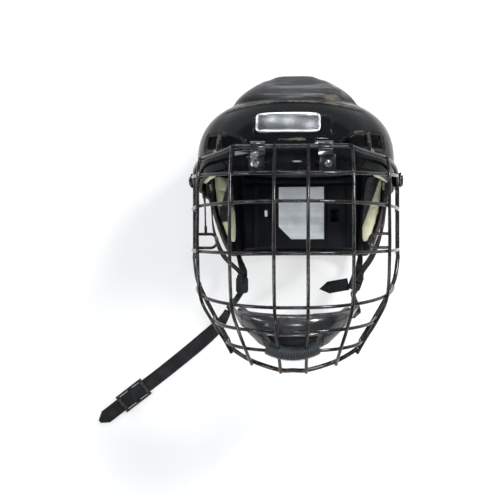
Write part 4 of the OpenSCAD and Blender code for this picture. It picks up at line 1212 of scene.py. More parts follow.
# The rear shell
REAR_RUN_END = 90 + (REAR_EDGE_Z - REAR_CORE_Z) / MM
REAR_TURN_STEP = 1.5
REAR_ROWS = 115
REAR_VENTS = ((16, 32, 66, 78), (40, 56, 54, 66))
SLOTS = ((-25, -19.2, 0.2, 7.4), (24.2, 26.7, 0.5, 4))
SCREW_SLOT = (90 + 9.7, 90 + 34.3, 27.7, 32.3)


def rear_edge(s):
    return mix(NECK_Y, EAR_Y, ease((np.abs(s) - 54) / 36))


class HELMET_OT_rear_shell(Step):
    """Rear shell that slides inside the front one, with its vents and the slots of its screws"""

    bl_idname = "helmet.rear_shell"
    bl_label = "Rear shell"

    def make(self, context, sizes):
        holes = [hole for s0, s1, y0, y1 in (*REAR_VENTS, SCREW_SLOT)
                 for hole in both_sides(s0, s1, y0 * MM, y1 * MM)]
        holes += [(s0, s1, y0 * MM, y1 * MM) for s0, s1, y0, y1 in SLOTS]
        marks = [s for hole in holes for s in hole[:2]]
        cols = snapped(stations(90, REAR_TURN_STEP, REAR_RUN_END), marks)
        rows = snapped(np.linspace(NECK_Y, CROWN_Y, REAR_ROWS), [y for hole in holes for y in hole[2:]])
        s = np.tile(cols, (len(rows), 1))
        low = rear_edge(cols)[None]
        # Below a turn-over height the rows close up towards the rising edge, and above it they lie level
        turn_over = np.maximum(low + 8 * MM, NECK_Y + 30 * MM * (1 - ease((np.abs(cols[None]) - 44) / 12)))
        turn_over = np.minimum(turn_over, 27 * MM)
        share = np.clip((rows[:, None] - NECK_Y) / (turn_over - NECK_Y), 0, 1)
        y = np.where(rows[:, None] < turn_over, mix(low, turn_over, share), rows[:, None])
        grid = skin(rear_point, s, y, REAR_OFF)
        grid[..., 2] = np.maximum(grid[..., 2], 0)
        keep = cell_mask(cols, rows, holes)
        faces = [f[::-1] for f in grid_faces(len(rows), len(cols), keep=keep)]
        cap, cap_faces = cap_cells(grid.size // 3, grid, len(cols))
        piece = new_piece("shell_rear", np.vstack([grid.reshape(-1, 3), cap]),
                          faces + [f[::-1] for f in cap_faces])
        wear = 0.7 * hill(y - low, 1.6 * MM) + 0.4 * hill(grid[..., 2], 2 * MM)
        for hole in holes[:4]:
            wear = wear + 0.8 * hill(clear_of(hole, s, y), 1.3)
        store(piece, "wear", np.concatenate([np.clip(wear, 0, 1).ravel(), np.full(len(cap), 0.1)]))
        rolled(piece, sizes, 2.5 * MM, "rear_shell", "rear")


# Pads
CLOTH_PRESSURE, CLOTH_FRAMES, OUTER_CAP = 4.0, 20, 0.5 * MM
CREASE_DEPTH = 1.6 * MM
HEAD_MIDDLE = (0, 0.02, 0.14)


def moved(piece, places):
    piece.data.vertices.foreach_set("co", places.ravel())
    piece.data.update()


def swollen(piece, away, sizes):
    """Blows the pad up as cloth, with a cap on how far a point may go, and less towards what carries it."""
    start = points_of(piece)
    cloth = piece.modifiers.new("Cloth", "CLOTH")
    cloth.settings.use_pressure = True
    cloth.settings.uniform_pressure_force = CLOTH_PRESSURE
    cloth.settings.effector_weights.gravity = 0.0
    cloth.settings.quality = 5
    cloth.point_cache.frame_start = 1
    cloth.point_cache.frame_end = CLOTH_FRAMES
    scene = bpy.context.scene
    for number in range(1, CLOTH_FRAMES + 1):
        scene.frame_set(number)
    settle(piece)
    scene.frame_set(1)
    shift = points_of(piece) - start
    length = np.linalg.norm(shift, axis=1, keepdims=True)
    shift *= np.minimum(1, sizes.pad_cap / np.maximum(length, 1e-9))
    outward = unit(start - np.asarray(away))
    share = (shift * outward).sum(1, keepdims=True)
    shift -= outward * np.maximum(0, share - OUTER_CAP)
    moved(piece, start + shift)


def edge_swell(i, j):
    """Share of a pad's thickness at shares i and j of its width and height: it is drawn in at its edges."""
    return mix(0.55, 1, (1 - (2 * i - 1) ** 4) * (1 - (2 * j - 1) ** 4))


REAR_PAD_S, REAR_PAD_LOW, REAR_PAD_TOP = 46, -42 * MM, 46 * MM
REAR_PAD_T, REAR_PAD_PLAY = 14 * MM, 1.5 * MM
REAR_PAD_COLS, REAR_PAD_ROWS = 93, 73
PAD_SLOTS = ((-25.9, -17.4, -1.8, 8.4), (22.3, 30.5, -6.6, 8))


def rear_pad():
    """The wide pad of the rear shell, with its two slots."""
    marks = [s for slot in PAD_SLOTS for s in slot[:2]]
    holes = [(s0, s1, y0 * MM, y1 * MM) for s0, s1, y0, y1 in PAD_SLOTS]
    cols = snapped(np.linspace(-REAR_PAD_S, REAR_PAD_S, REAR_PAD_COLS), marks)
    rows = snapped(np.linspace(REAR_PAD_LOW, REAR_PAD_TOP, REAR_PAD_ROWS),
                   [y for hole in holes for y in hole[2:]])
    s, y = np.meshgrid(cols, rows)
    over = REAR_OFF + WALL + REAR_PAD_PLAY
    up = (y - REAR_PAD_LOW) / (REAR_PAD_TOP - REAR_PAD_LOW)
    depth = REAR_PAD_T * edge_swell((s / REAR_PAD_S + 1) / 2, up)
    low = skin(rear_point, s, y, over)
    top = skin(rear_point, s, y, over + depth)
    low[..., 2] = np.maximum(low[..., 2], WALL + 1.1 * MM)
    top[..., 2] = np.maximum(top[..., 2], WALL + 1.1 * MM + depth)
    piece = merged(layered("pad_rear", top, low, cell_mask(cols, rows, holes)))
    return rounded(piece, 2.2 * MM, 3, 50)


def pad_piece(node, name, body, slot, material, channels, sizes, away=HEAD_MIDDLE):
    """A padded piece: its node's form swollen as cloth and subdivided, then creased along its channels."""
    if node == "rear_pad":
        piece = rear_pad()
    else:
        piece = merged(copy_of(node, name))
        remesh = piece.modifiers.new("Even mesh", "REMESH")
        remesh.mode = "VOXEL"
        remesh.voxel_size = sizes.pad_voxel
        settle(piece)
        swollen(piece, away, sizes)
        relax = piece.modifiers.new("Relax", "SMOOTH")
        relax.factor, relax.iterations = 0.5, 3
        finer = piece.modifiers.new("Finer", "SUBSURF")
        finer.levels = finer.render_levels = 1
        settle(piece)
    piece.data.shade_smooth()
    co = points_of(piece)
    shaded_crease = 0.0
    if channels:
        shaded_crease = np.clip(channels(co), 0, 1)
        normals = points_of(piece, "normal")
        facing = np.clip(-(normals * unit(co - np.asarray(away))).sum(1), 0, 1)
        co -= normals * (shaded_crease * facing)[:, None] * CREASE_DEPTH
        moved(piece, co)
    # Marks the sewn creases for painted shade in the dark pads' finish.
    store(piece, "shaded_crease", shaded_crease * 0.7)
    store(piece, "cover", side_cover(co) if "side_pad" in node else 0.0)
    stand_in(piece, node, body, slot, material)


HEM = 0.8 * MM


def side_cover(co):
    """Where dark cloth covers the cream side pads: a block towards the face, and the inner side above it."""
    x, y = np.abs(co[:, 0]), co[:, 1]
    block = ease((y + 8 * MM) / HEM) * ease((10 * MM - y) / HEM) * ease((86 * MM - x) / HEM)
    strip = mix(79 * MM, 64 * MM, (12 * MM - y) / (42 * MM))
    upper = ease((y - 8 * MM) / HEM) * ease((mix(82.5, 79, (y / MM - 12) / 14) * MM - x) / HEM)
    left = np.maximum(block * (1 - ease((74 * MM - x) / HEM)), upper)
    right = ease((strip - x) / HEM)
    return np.where(co[:, 0] < 0, left, right)


def rear_pad_channels(co):
    """Sewn channels of the rear pad: two upright ones beside the patch and one across above it."""
    x, y = co[:, 0], co[:, 1]
    upright = hill(np.abs(x) - 29 * MM, 1.6 * MM) * (1 - ease((y - 36 * MM) / (3 * MM)))
    outer = hill(np.abs(x) - 50 * MM, 1.8 * MM)
    across = hill(y - 37.5 * MM, 1.6 * MM) * (np.abs(x) < 62 * MM)
    return upright + 0.8 * outer + across


def forehead_channels(co):
    x = np.abs(co[:, 0])
    return hill(x - 24 * MM, 1.5 * MM) + hill(x - 58 * MM, 1.5 * MM)


def side_channels(co):
    return hill(co[:, 1] - 8 * MM, 1.6 * MM) + 0.8 * hill(co[:, 1] - 26 * MM, 1.6 * MM)


def crown_channels(co):
    return hill(np.abs(co[:, 0]) - 17 * MM, 1.6 * MM)


PADS = [
    ("forehead_pad", "pad_forehead", "helmet", "pad_dark", "pad", forehead_channels),
    ("left_temple_pad", "pad_temple_left", "helmet", "foam_cream", "foam", None),
    ("right_temple_pad", "pad_temple_right", "helmet", "foam_cream", "foam", None),
    ("crown_pad", "pad_crown", "helmet", "pad_dark", "pad", crown_channels),
    ("rear_pad", "pad_rear", "rear", "pad_dark", "pad", rear_pad_channels),
    ("left_side_pad", "pad_side_left", "rear", "foam_cream", "foam", side_channels),
    ("right_side_pad", "pad_side_right", "rear", "foam_cream", "foam", side_channels),
    ("rear_crown_pad", "pad_rear_crown", "rear", "pad_dark", "pad", crown_channels)]


class HELMET_OT_pads(Step):
    """Eight padded pieces of the lining, seven swollen as cloth and six creased where they are sewn"""

    bl_idname = "helmet.pads"
    bl_label = "Pads"

    def make(self, context, sizes):
        for pad in PADS:
            pad_piece(*pad, sizes)


# The plate on the forehead and the patch on the rear pad
BADGE_W, BADGE_H, BADGE_X, BADGE_Y, BADGE_T = 60 * MM, 19 * MM, -4 * MM, 78.5 * MM, 1.6 * MM
PATCH_LEFT, PATCH_RIGHT, PATCH_CUT = -23.5 * MM, 27.5 * MM, 14 * MM
PATCH_LOW, PATCH_H, PATCH_T = -25.5 * MM, 59 * MM, 0.7 * MM
PATCH_ROWS, PATCH_COLS = 53, 41
PATCH_LIFT, RAY_FROM_Z = 0.47 * MM, 0.12
PLATE_COLS, PLATE_ROWS = 61, 25


def squircle(u, v, n):
    """Takes a square from -1 to 1 to one with rounded corners."""
    reach = np.maximum(np.abs(u), np.abs(v))
    away = (np.abs(u) ** n + np.abs(v) ** n) ** (1 / n)
    k = np.where(away > 1e-9, reach / np.maximum(away, 1e-9), 1)
    return u * k, v * k


class HELMET_OT_plate_and_patch(Step):
    """Blank plate on the forehead, with a raised rim, and blank grey patch on the rear pad"""

    bl_idname = "helmet.plate_and_patch"
    bl_label = "Plate and patch"

    def make(self, context, sizes):
        self.plate()
        self.patch()

    def plate(self):
        u, v = np.meshgrid(np.linspace(-1, 1, PLATE_COLS), np.linspace(-1, 1, PLATE_ROWS))
        edge = np.maximum(np.abs(u), np.abs(v))
        u2, v2 = squircle(u, v, 7)
        x = BADGE_X + u2 * BADGE_W / 2
        y = BADGE_Y + v2 * BADGE_H / 2
        from_rim = np.minimum((1 - np.abs(u)) * BADGE_W / 2, (1 - np.abs(v)) * BADGE_H / 2)
        rim = ease((2.0 * MM - from_rim) / (0.7 * MM))
        s = np.sign(x) * station_at(x, y)
        top = skin(front_point, s, y, -BADGE_T * mix(0.55, 0.97, rim))
        piece = layered("plate", top, skin(front_point, s, y, 1.2 * MM))
        store(piece, "rim", np.concatenate([rim.ravel(), np.ones(rim.size)]))
        store(piece, "wear", np.tile((edge > 0.93).ravel() * 0.6, 2))
        rounded(merged(piece), 0.35 * MM, 2, 40)
        stand_in(piece, "badge_plate", "helmet", "plate_silver", "plate")

    def patch(self):
        pad = bpy.data.objects["pad_rear"]
        tree = BVHTree.FromObject(pad, bpy.context.evaluated_depsgraph_get())
        points = []
        for layer in (PATCH_LIFT + PATCH_T, PATCH_LIFT):
            for v in np.linspace(0, 1, PATCH_ROWS):
                y = PATCH_LOW + PATCH_H * v
                left = PATCH_LEFT + max(0, PATCH_LOW + PATCH_CUT - y)
                for u in np.linspace(0, 1, PATCH_COLS):
                    x = mix(left, PATCH_RIGHT, u)
                    hit, *_ = tree.ray_cast(Vector((x, y, RAY_FROM_Z)), Vector((0, 0, -1)))
                    if hit is None:
                        raise RuntimeError("the patch finds no rear pad under it")
                    wrinkle = (0.25 * MM * math.sin(x / MM * 0.31 + y / MM * 0.12)
                               * math.sin(y / MM * 0.2 + 1))
                    points.append(tuple(hit + Vector((0, 0, layer + wrinkle))))
        top, low = np.array(points).reshape(2, PATCH_ROWS, PATCH_COLS, 3)
        piece = rounded(merged(layered("patch", top, low)), 0.2 * MM, 2, 50)
        stand_in(piece, "label_patch", "rear", "patch_grey", "patch")


# The cage: heights, half widths and depths of its crossbars, at their ends and in their middles
BARS = np.array([
    [33, 100.5, 180, 30, 288],
    [0, 101.5, 168, 4, 295],
    [-38, 101.5, 168, -43, 298],
    [-73, 96.5, 176, -92, 293],
    [-104, 78.5, 198, -114, 282],
    [-125, 64.5, 215, -133, 264]]) * MM


def bar_point(b, angle):
    c = cosine(angle) ** (2 / CAGE_N)
    return np.stack([np.sign(angle) * b[1] * sine(np.abs(angle)) ** (2 / CAGE_N),
                     mix(b[0], b[3], c), mix(b[2], b[4], c)], -1)


def bar_at(b, x):
    c = np.maximum(0, 1 - (np.abs(x) / b[1]) ** CAGE_N) ** (1 / CAGE_N)
    return np.stack(np.broadcast_arrays(x, mix(b[0], b[3], c), mix(b[2], b[4], c)), -1)


def frame_stations():
    """Half of the frame wire, from the middle of the chin up to the end of the hinge bar."""
    side = [[bar[1], bar[0], bar[2]] for bar in (BARS[5], BARS[4], BARS[3])]
    return np.array([
        [0, CHIN_Y, CHIN_Z],
        [14 * MM, CHIN_Y + 0.5 * MM, CHIN_Z],
        [40 * MM, CHIN_Y + 8 * MM, CHIN_Z - 10 * MM],
        [60 * MM, CHIN_Y + 19 * MM, CHIN_Z - 22 * MM],
        *side,
        [HALF_CAGE, -50 * MM, CAGE_BACK_Z],
        [HALF_CAGE, BARS[2][0], CAGE_BACK_Z],
        [HALF_CAGE, BARS[1][0], CAGE_BACK_Z],
        [HALF_CAGE, 22 * MM, CAGE_BACK_Z],
        [BARS[0][1], BARS[0][0], BARS[0][2]],
        [HALF_CAGE - 5 * MM, 42 * MM, CAGE_BACK_Z + 34 * MM],
        [HALF_CAGE - 15 * MM, 47 * MM, SHOULDER_Z],
        [HALF_CAGE - 36 * MM, 51 * MM, HINGE_Z - 14 * MM],
        [HINGE_BAR_L / 2, HINGE_Y, HINGE_Z]])


# Uprights: half distance at the top, on the straight part and at the chin
UPRIGHT_X = np.array([[86, 88, 60], [52, 55, 40], [15, 15, 12]]) * MM
OUTSET = 3.2 * 0.92 * MM
HOOK = 2.5 * MM
DRAW_IN = (0, 0, 0, 0.08, 0.42, 0.8)
BESIDE_BAR = 1.6 * MM
UPRIGHT_TOPS = np.array([
    [HALF_CAGE - 15 * MM, 48 * MM, SHOULDER_Z],
    [HINGE_BAR_L / 2 + BESIDE_BAR, HINGE_Y + 1 * MM, HINGE_Z - BESIDE_BAR],
    [15 * MM, HINGE_Y + 1 * MM, HINGE_Z]])
EYE_Y, EYE_R = -31 * MM, 6.5 * MM
FRAME_SIDES, BAR_SIDES, WIRE_SIDES = 14, 16, 12
EYE_X = UPRIGHT_X[0][1] - 10 * MM


def outwards(p):
    way = np.array([p[0], 0, p[2] - CAGE_BACK_Z])
    return p + OUTSET * unit(way)


def upright_stations(k):
    x = UPRIGHT_X[k]
    crossings = [outwards(bar_at(bar, mix(x[1], x[2], share))) for bar, share in zip(BARS, DRAW_IN)]
    sweep = (x[2] / (44 * MM)) ** 2
    end = [x[2], CHIN_Y + 9 * MM * sweep - HOOK, CHIN_Z - 12 * MM * sweep + OUTSET]
    return np.array([outwards(UPRIGHT_TOPS[k]), *crossings, end])


EYE_WELD = outwards(bar_at(BARS[2], UPRIGHT_X[0][1]))
EYE_Z = EYE_WELD[2]


def weld_points():
    """Where uprights cross crossbars and where crossbars end on the frame."""
    places = []
    for k in range(3):
        x = UPRIGHT_X[k]
        for bar, share in zip(BARS, DRAW_IN):
            low = bar_at(bar, mix(x[1], x[2], share))
            places.append(mix(low, outwards(low), 0.5))
    for bar in BARS:
        places.append(np.array([bar[1], bar[0], bar[2]]) * [0.992, 1, 1])
    places = np.array(places)
    return np.vstack([places, mirrored(places)])


def near_welds(path, reach):
    gaps = np.linalg.norm(path[:, None] - weld_points()[None], axis=2).min(1)
    return hill(gaps, reach)


def blob(name, rings=6, sides=12, flat=0.75):
    """A small rounded lump, one unit in radius."""
    points = [(0, 0, flat)]
    for j in range(1, rings):
        lean = math.pi * j / rings
        for k in range(sides):
            way = 2 * math.pi * k / sides
            points.append((math.sin(lean) * math.cos(way), math.sin(lean) * math.sin(way),
                           flat * math.cos(lean)))
    points.append((0, 0, -flat))
    last = len(points) - 1
    faces = [(0, 1 + k, 1 + (k + 1) % sides) for k in range(sides)]
    faces += grid_faces(rings - 1, sides, start=1, closed=True)
    foot = last - sides
    faces += [(last, foot + (k + 1) % sides, foot + k) for k in range(sides)]
    return new_piece(name, points, faces)


class HELMET_OT_cage(Step):
    """Wire cage: hinge bar, frame, six uprights, six crossbars, wire eyes and the welds that join them"""

    bl_idname = "helmet.cage"
    bl_label = "Cage"

    def make(self, context, sizes):
        self.frame(sizes)
        self.crossbars(sizes)
        self.uprights(sizes)
        self.eyes(sizes)
        self.welds(sizes)

    def wire(self, name, node, kind, path, radius, sides, rust):
        piece = wire(name, path, radius, sides, kind, rust=rust)
        stand_in(piece, node, "cage", kind)

    def grille(self, name, node, path, radius, rust):
        self.wire("cage_" + name, node, "grille_wire", path, radius, WIRE_SIDES, rust)

    def frame(self, sizes):
        half = frame_stations()
        path, _ = smooth_path(np.vstack([mirrored(half[:0:-1]), half]), 8)
        rust = 0.5 * near_welds(path, 6 * MM) + 0.7 * hill(path[:, 1] - CHIN_Y, 14 * MM)
        self.wire("cage_wire_frame", "cage_frame", "frame_wire", path, sizes.frame / 2, FRAME_SIDES, rust)
        xs = np.linspace(-HINGE_BAR_L / 2, HINGE_BAR_L / 2, 40)
        line = np.stack(np.broadcast_arrays(xs, HINGE_Y, HINGE_Z), -1)
        rust = 0.6 * hill(np.abs(xs) - 15 * MM, 4 * MM)
        self.wire("cage_hinge_bar", "hinge_bar", "frame_wire", line, sizes.frame / 2, BAR_SIDES, rust)

    def crossbars(self, sizes):
        for k, bar in enumerate(BARS):
            path = bar_point(bar, np.linspace(-90, 90, 91))
            rust = near_welds(path, 3.5 * MM) * (0.45 + 0.1 * k)
            self.grille(f"crossbar_{k + 1}", f"crossbar_{k + 1}", path, sizes.wire / 2, rust)

    def uprights(self, sizes):
        for k in range(3):
            path, _ = smooth_path(upright_stations(k), 12)
            rust = near_welds(path, 3.5 * MM) * 0.55 + 0.7 * hill(path[:, 1] - CHIN_Y, 9 * MM)
            for number, way in ((k + 1, mirrored(path)), (6 - k, path)):
                self.grille(f"upright_{number}", f"upright_{number}", way, sizes.wire / 2, rust)

    def eyes(self, sizes):
        weld_x = EYE_WELD[0] - 1 * MM
        turns = np.arange(90, 271, 7.5)
        ring = np.stack([EYE_X + EYE_R * cosine(turns), EYE_Y + EYE_R * sine(turns),
                         np.full(len(turns), EYE_Z)], -1)
        path = np.vstack([[weld_x, EYE_Y + EYE_R, EYE_Z], ring, [weld_x, EYE_Y - EYE_R, EYE_Z]])
        for side, way in (("left", mirrored(path)), ("right", path)):
            self.grille(f"eye_{side}", f"{side}_cage_eye", way, sizes.wire / 2 - 0.2 * MM, 0.2)

    def welds(self, sizes):
        places = weld_points()
        ups = unit(places * [1, 0, 1] - [0, 0, CAGE_BACK_Z])
        scales = 1 + 0.18 * np.sin(np.arange(len(places)) * 2.4)
        piece = copies("cage_welds", blob("weld_shape"), places, ups, (1, 0, 0), "grille_wire",
                       sizes.wire * 0.62, scales)
        store(piece, "rust", 0.75)
        dress(piece, "cage", "grille_wire")


# Chin cup: heights, half widths, and depths of its ends and middles
CUP = np.array([[-140, 16, 62, 45.5], [-136, 26, 66, 41.5], [-131, 36, 72, 39.7], [-118.5, 49, 82, 37.5],
                [-112, 54, 88, 37], [-106, 58, 94, 37], [-99.5, 62, 100, 38]]) * MM
CUP_SMILE, CUP_N, CUP_WALL = 6 * MM, 2.2, 3 * MM
BAND_LOW, BAND_SWELL = -117.5 * MM, 4.5 * MM
CUP_OPENING = (-29, 29, -132 * MM, -120 * MM)
CUP_HEART = (0, -0.105, 0.2)
CUP_COLS, CUP_ROWS = 121, 61
LINER_TURN, LINER_COLS, LINER_ROWS = 84, 57, 21
RIB_STEPS, LIP_SIDES = 8, 20
LIP_HALF, LIP_R, LIP_RISE, LIP_DROP = 24 * MM, 6.8 * MM, 6 * MM, 2.6 * MM


def cup_row(y):
    """Half width and depths of the cup at height y, smooth between the rows of the construction model."""
    heights = CUP[:, 0]
    place = np.interp(y, heights, np.arange(len(CUP)))
    low = np.clip(np.floor(place).astype(int), 0, len(CUP) - 2)
    k = (place - low)[:, None]
    before, after = np.maximum(low - 1, 0), np.minimum(low + 2, len(CUP) - 1)
    a, b, c, d = CUP[before], CUP[low], CUP[low + 1], CUP[after]
    row = between(a, b, c, d, k)
    return row[:, 1], CAGE_FRONT_Z - row[:, 2], CAGE_FRONT_Z - row[:, 3]


def cup_points(y, angles, off=0.0):
    half, end_z, mid_z = (v[:, None] for v in cup_row(y))
    c = cosine(angles)[None] ** (2 / CUP_N)
    x = np.sign(angles)[None] * (half - off) * sine(np.abs(angles))[None] ** (2 / CUP_N)
    height = y[:, None] + (1 - c) * CUP_SMILE
    return np.stack([x, height, mix(end_z, mid_z - off, c)], -1)


class HELMET_OT_chin_cup(Step):
    """Chin cup with its opening, the pad inside it and the ribbed lip round the lowest crossbar"""

    bl_idname = "helmet.chin_cup"
    bl_label = "Chin cup"

    def make(self, context, sizes):
        self.cup(sizes)
        self.liner()
        self.lip(sizes)
        pad_piece("chin_cup_pad", "cup_pad", "cage", "cup_foam", "cup_foam", cup_channels, sizes, CUP_HEART)

    def cup(self, sizes):
        angles = snapped(np.linspace(-90, 90, CUP_COLS), CUP_OPENING[:2])
        rows = snapped(np.linspace(CUP[0, 0], CUP[-1, 0], CUP_ROWS), CUP_OPENING[2:])
        grid = cup_points(rows, angles)
        faces = grid_faces(len(rows), len(angles), keep=cell_mask(angles, rows, [CUP_OPENING]))
        a, y = np.meshgrid(angles, rows)
        away = clear_of(CUP_OPENING, a, y, 0.8)
        # A swollen band along the top edge, and a rolled rim round the opening
        ahead = np.zeros_like(grid)
        place = np.clip((y - BAND_LOW) / (CUP[-1, 0] - BAND_LOW), 0, 1)
        ahead[..., 2] = BAND_SWELL * np.sqrt(np.maximum(0, 1 - (2 * place - 1) ** 2)) * (y > BAND_LOW)
        ahead[..., 2] += 0.9 * MM * (1 - ease((away - 1.6) / 1.4)) * (y < BAND_LOW)
        piece = new_piece("cup", grid + ahead, faces)
        wear = 0.8 * hill(away, 1.4) + 0.7 * hill(y - CUP[-1, 0], 1.4 * MM)
        wear = wear + 0.5 * hill(y - CUP[0, 0], 1.6 * MM)
        store(piece, "wear", np.clip(wear, 0, 1))
        thickened(merged(piece), CUP_WALL, sizes.rim_round)
        stand_in(piece, "chin_cup", "cage", "cup_plastic", "cup")

    def liner(self):
        """Thin dark foam that closes the cup behind its opening."""
        angles = np.linspace(-LINER_TURN, LINER_TURN, LINER_COLS)
        rows = np.linspace(CUP[0, 0] + 1 * MM, CUP[4, 0], LINER_ROWS)
        top, low = (cup_points(rows, angles, CUP_WALL + off) for off in (0.5 * MM, 2.5 * MM))
        dress(merged(layered("cup_liner", top, low)), "cage", "cup_foam", "cup_foam")

    def lip(self, sizes):
        steps = sizes.ribs * RIB_STEPS + 1
        path = bar_at(BARS[5], np.linspace(-LIP_HALF, LIP_HALF, steps))
        path[:, 1] += LIP_RISE * (path[:, 0] / LIP_HALF) ** 2 - LIP_DROP
        path[:, 2] += 1 * MM
        turn = np.arange(steps) / RIB_STEPS * 2 * math.pi
        ribs = 0.93 + 0.07 * np.clip(1.6 * np.cos(turn), -1, 1)
        ends = np.minimum(np.arange(steps), np.arange(steps)[::-1]) / RIB_STEPS
        swell = ribs * (0.45 + 0.55 * ease(ends / 1.4) ** 0.5)
        piece = wire("cup_lip", path, LIP_R, LIP_SIDES, "lip", swell=swell)
        co = points_of(piece)
        middle = np.stack([np.interp(co[:, 0], path[:, 0], path[:, i]) for i in range(3)], -1)
        reach = np.linalg.norm(co - middle, axis=1)
        # Points sunk below the ribs' crests, between the ribs and at the thin ends, get painted shade in the
        # lip's finish.
        store(piece, "groove", 1 - ease((reach / LIP_R - 0.88) / 0.1))
        stand_in(piece, "chin_cup_lip", "cage", "cup_plastic")


def cup_channels(co):
    return hill(np.abs(co[:, 0]) - 16 * MM, 1.5 * MM)


# Hardware
# The grid lines of a screw head and its cross recess, in shares of its radius
SCREW_TICKS, CROSS_HALF, CROSS_REACH = 29, 0.11, 0.63
CROSS_MARKS = (-0.13, -0.09, 0.09, 0.13, -0.62, 0.62)


def screw_shape(recess=0.55, dome=0.35):
    """A domed screw head, one unit in radius and height up, with a cross recess pressed into it."""
    ticks = snapped(np.linspace(-1, 1, SCREW_TICKS), CROSS_MARKS)
    u, v = np.meshgrid(ticks, ticks)
    reach = np.maximum(np.abs(u), np.abs(v))
    x, y = squircle(u, v, 2)
    high = 0.5 + dome * (1 - np.hypot(x, y) ** 2) - 0.12 * ease((np.hypot(x, y) - 0.85) / 0.15)
    arm = np.minimum(np.abs(u), np.abs(v))
    inside = (arm < CROSS_HALF) & (reach < CROSS_REACH)
    high = np.where(inside, high - recess, high)
    top, low = np.stack([x, y, high], -1), np.stack([x, y, 0 * x], -1)
    return merged(layered("screw_shape", top, low), distance=TINY)


BROW_CLIP_X, CLIP_FOOT_Y, CLIP_FOOT_T = 31 * MM, 35 * MM, 6 * MM
SIDE_CLIP_MID = 31 * MM
SCREW_Y, SCREW_Z = 30 * MM, 122 * MM


def on_front_skin(s, y, out):
    """A place over the front shell, and the way straight out from it."""
    place = skin(front_point, s, y, -out)
    return place, unit(skin(front_point, s, y, -1 * MM) - skin(front_point, s, y, 0.0))


class HELMET_OT_hardware(Step):
    """Brow clips, temple clips, their screws, size adjustment screws with nuts, vent screws and studs"""

    bl_idname = "helmet.hardware"
    bl_label = "Clips and screws"

    def make(self, context, sizes):
        for side in ("left", "right"):
            self.clip(f"{side}_brow_clip", f"clip_brow_{side}", 0.8 * MM, 3, "brow_clip", "brow_clip")
            self.clip(f"{side}_side_clip", f"clip_side_{side}", 0.6 * MM, 2, "clip_plastic", "clip")
        brow = [on_front_skin(side * station_at(BROW_CLIP_X), CLIP_FOOT_Y + 6 * MM, CLIP_FOOT_T + 0.3 * MM)
                for side in (-1, 1)]
        self.screws("screws_brow", "brow_clip_screws", brow, 3.6 * MM)
        vent = [on_front_skin(side * (WEDGE_VENT[1] + SIDE_VENT[0]) / 2, VENT_LOW_Y - 4 * MM, -0.2 * MM)
                for side in (-1, 1)]
        self.screws("screws_vent", "vent_screws", vent, 2.5 * MM)
        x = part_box("side_clip_screws")[1].x - 1.6 * MM
        z = sum(corner.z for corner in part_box("side_clip_screws")) / 2
        side_places = [(np.array([side * x, SIDE_CLIP_MID, z]), np.array([side, 0, 0])) for side in (-1, 1)]
        self.screws("screws_temple", "side_clip_screws", side_places, 3.2 * MM)
        self.adjusters()
        self.steel("snap_studs", "studs", 0.3 * MM)

    def steel(self, node, name, bevel):
        dress(refined(node, name, bevel, 2), "helmet", "screw_steel", "screw")

    def clip(self, node, name, bevel, segments, slot, material):
        """A clip, worn most on its outer corners, where the surface bends most."""
        piece = refined(node, name, bevel, segments)
        store(piece, "wear", 0.1 + 0.5 * np.abs(points_of(piece, "normal")).min(axis=1))
        dress(piece, "helmet", slot, material)

    def screws(self, name, node, places, radius):
        spots, ups = zip(*places)
        runs = [[0.8, 0.6, 0.1], [0.5, 0.85, 0.1]]
        piece = copies(name, screw_shape(), spots, ups, runs, "screw", radius)
        stand_in(piece, node, "helmet", "screw_steel")

    def adjusters(self):
        self.steel("adjust_screws", "screws_adjust", 0.5 * MM)
        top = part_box("adjust_screws")[1].x
        places = [np.array([side * (top - 2.4 * MM), SCREW_Y, SCREW_Z]) for side in (-1, 1)]
        piece = copies("screw_faces_adjust", screw_shape(0.3, 0.12), places, [[-1, 0, 0], [1, 0, 0]],
                       [[0, 0.9, 0.4], [0, 0.7, 0.7]], "screw", 5.4 * MM)
        dress(piece, "helmet", "screw_steel")
        self.steel("adjust_nuts", "nuts_adjust", 0.4 * MM)


# Harness. Each joiner is a tilted and turned plate: its middle, its tilt and its turn
JOINERS = {"left": (np.array([38 * MM - SHELL_HW, -76 * MM, 74 * MM]), -30, 0),
           "right": (np.array([SHELL_HW - 37 * MM, -73 * MM, 74 * MM]), 30, -20)}
HUNG_W, CUP_STRAP_W, CAGE_STRAP_W = 0.45, 0.4, 0.45
JOINER_T = 6 * MM
TONGUE_TURN = 190
JOINER_END = 9 * MM


def turned_to(p, j):
    _, tilt, turn = j
    p = np.asarray(p, float)
    x = p[0] * cosine(tilt) + p[2] * sine(tilt)
    return np.array([x * cosine(turn) - p[1] * sine(turn), x * sine(turn) + p[1] * cosine(turn),
                     p[2] * cosine(tilt) - p[0] * sine(tilt)])


def on_joiner(p, j):
    return j[0] + turned_to(p, j)


def sewn(j, up, face, thickness):
    """The last three points of a strap that is sewn to a joiner."""
    z = face * (JOINER_T / 2 + PLAY + thickness / 2)
    return [on_joiner([0, up * y, z], j) for y in (JOINER_END + 5 * MM, JOINER_END + 1 * MM, 1.2 * MM)]


def fine_path(points, coarse, head=(), tail=()):
    """A finely stepped path, with each point's number on the construction model's coarser path."""
    middle, places = smooth_path(points, coarse * 3)
    numbers = places * coarse + len(head)
    path, count = [middle], [numbers]
    if len(head):
        path.insert(0, np.asarray(head, float))
        count.insert(0, np.arange(len(head), dtype=float))
    if len(tail):
        start = middle[-1]
        for k, end in enumerate(tail):
            parts = np.arange(1, 7)[:, None] / 6
            path.append(start + (np.asarray(end) - start) * parts)
            count.append(numbers[-1] + k + parts[:, 0])
            start = np.asarray(end)
    return np.vstack(path), np.concatenate(count)


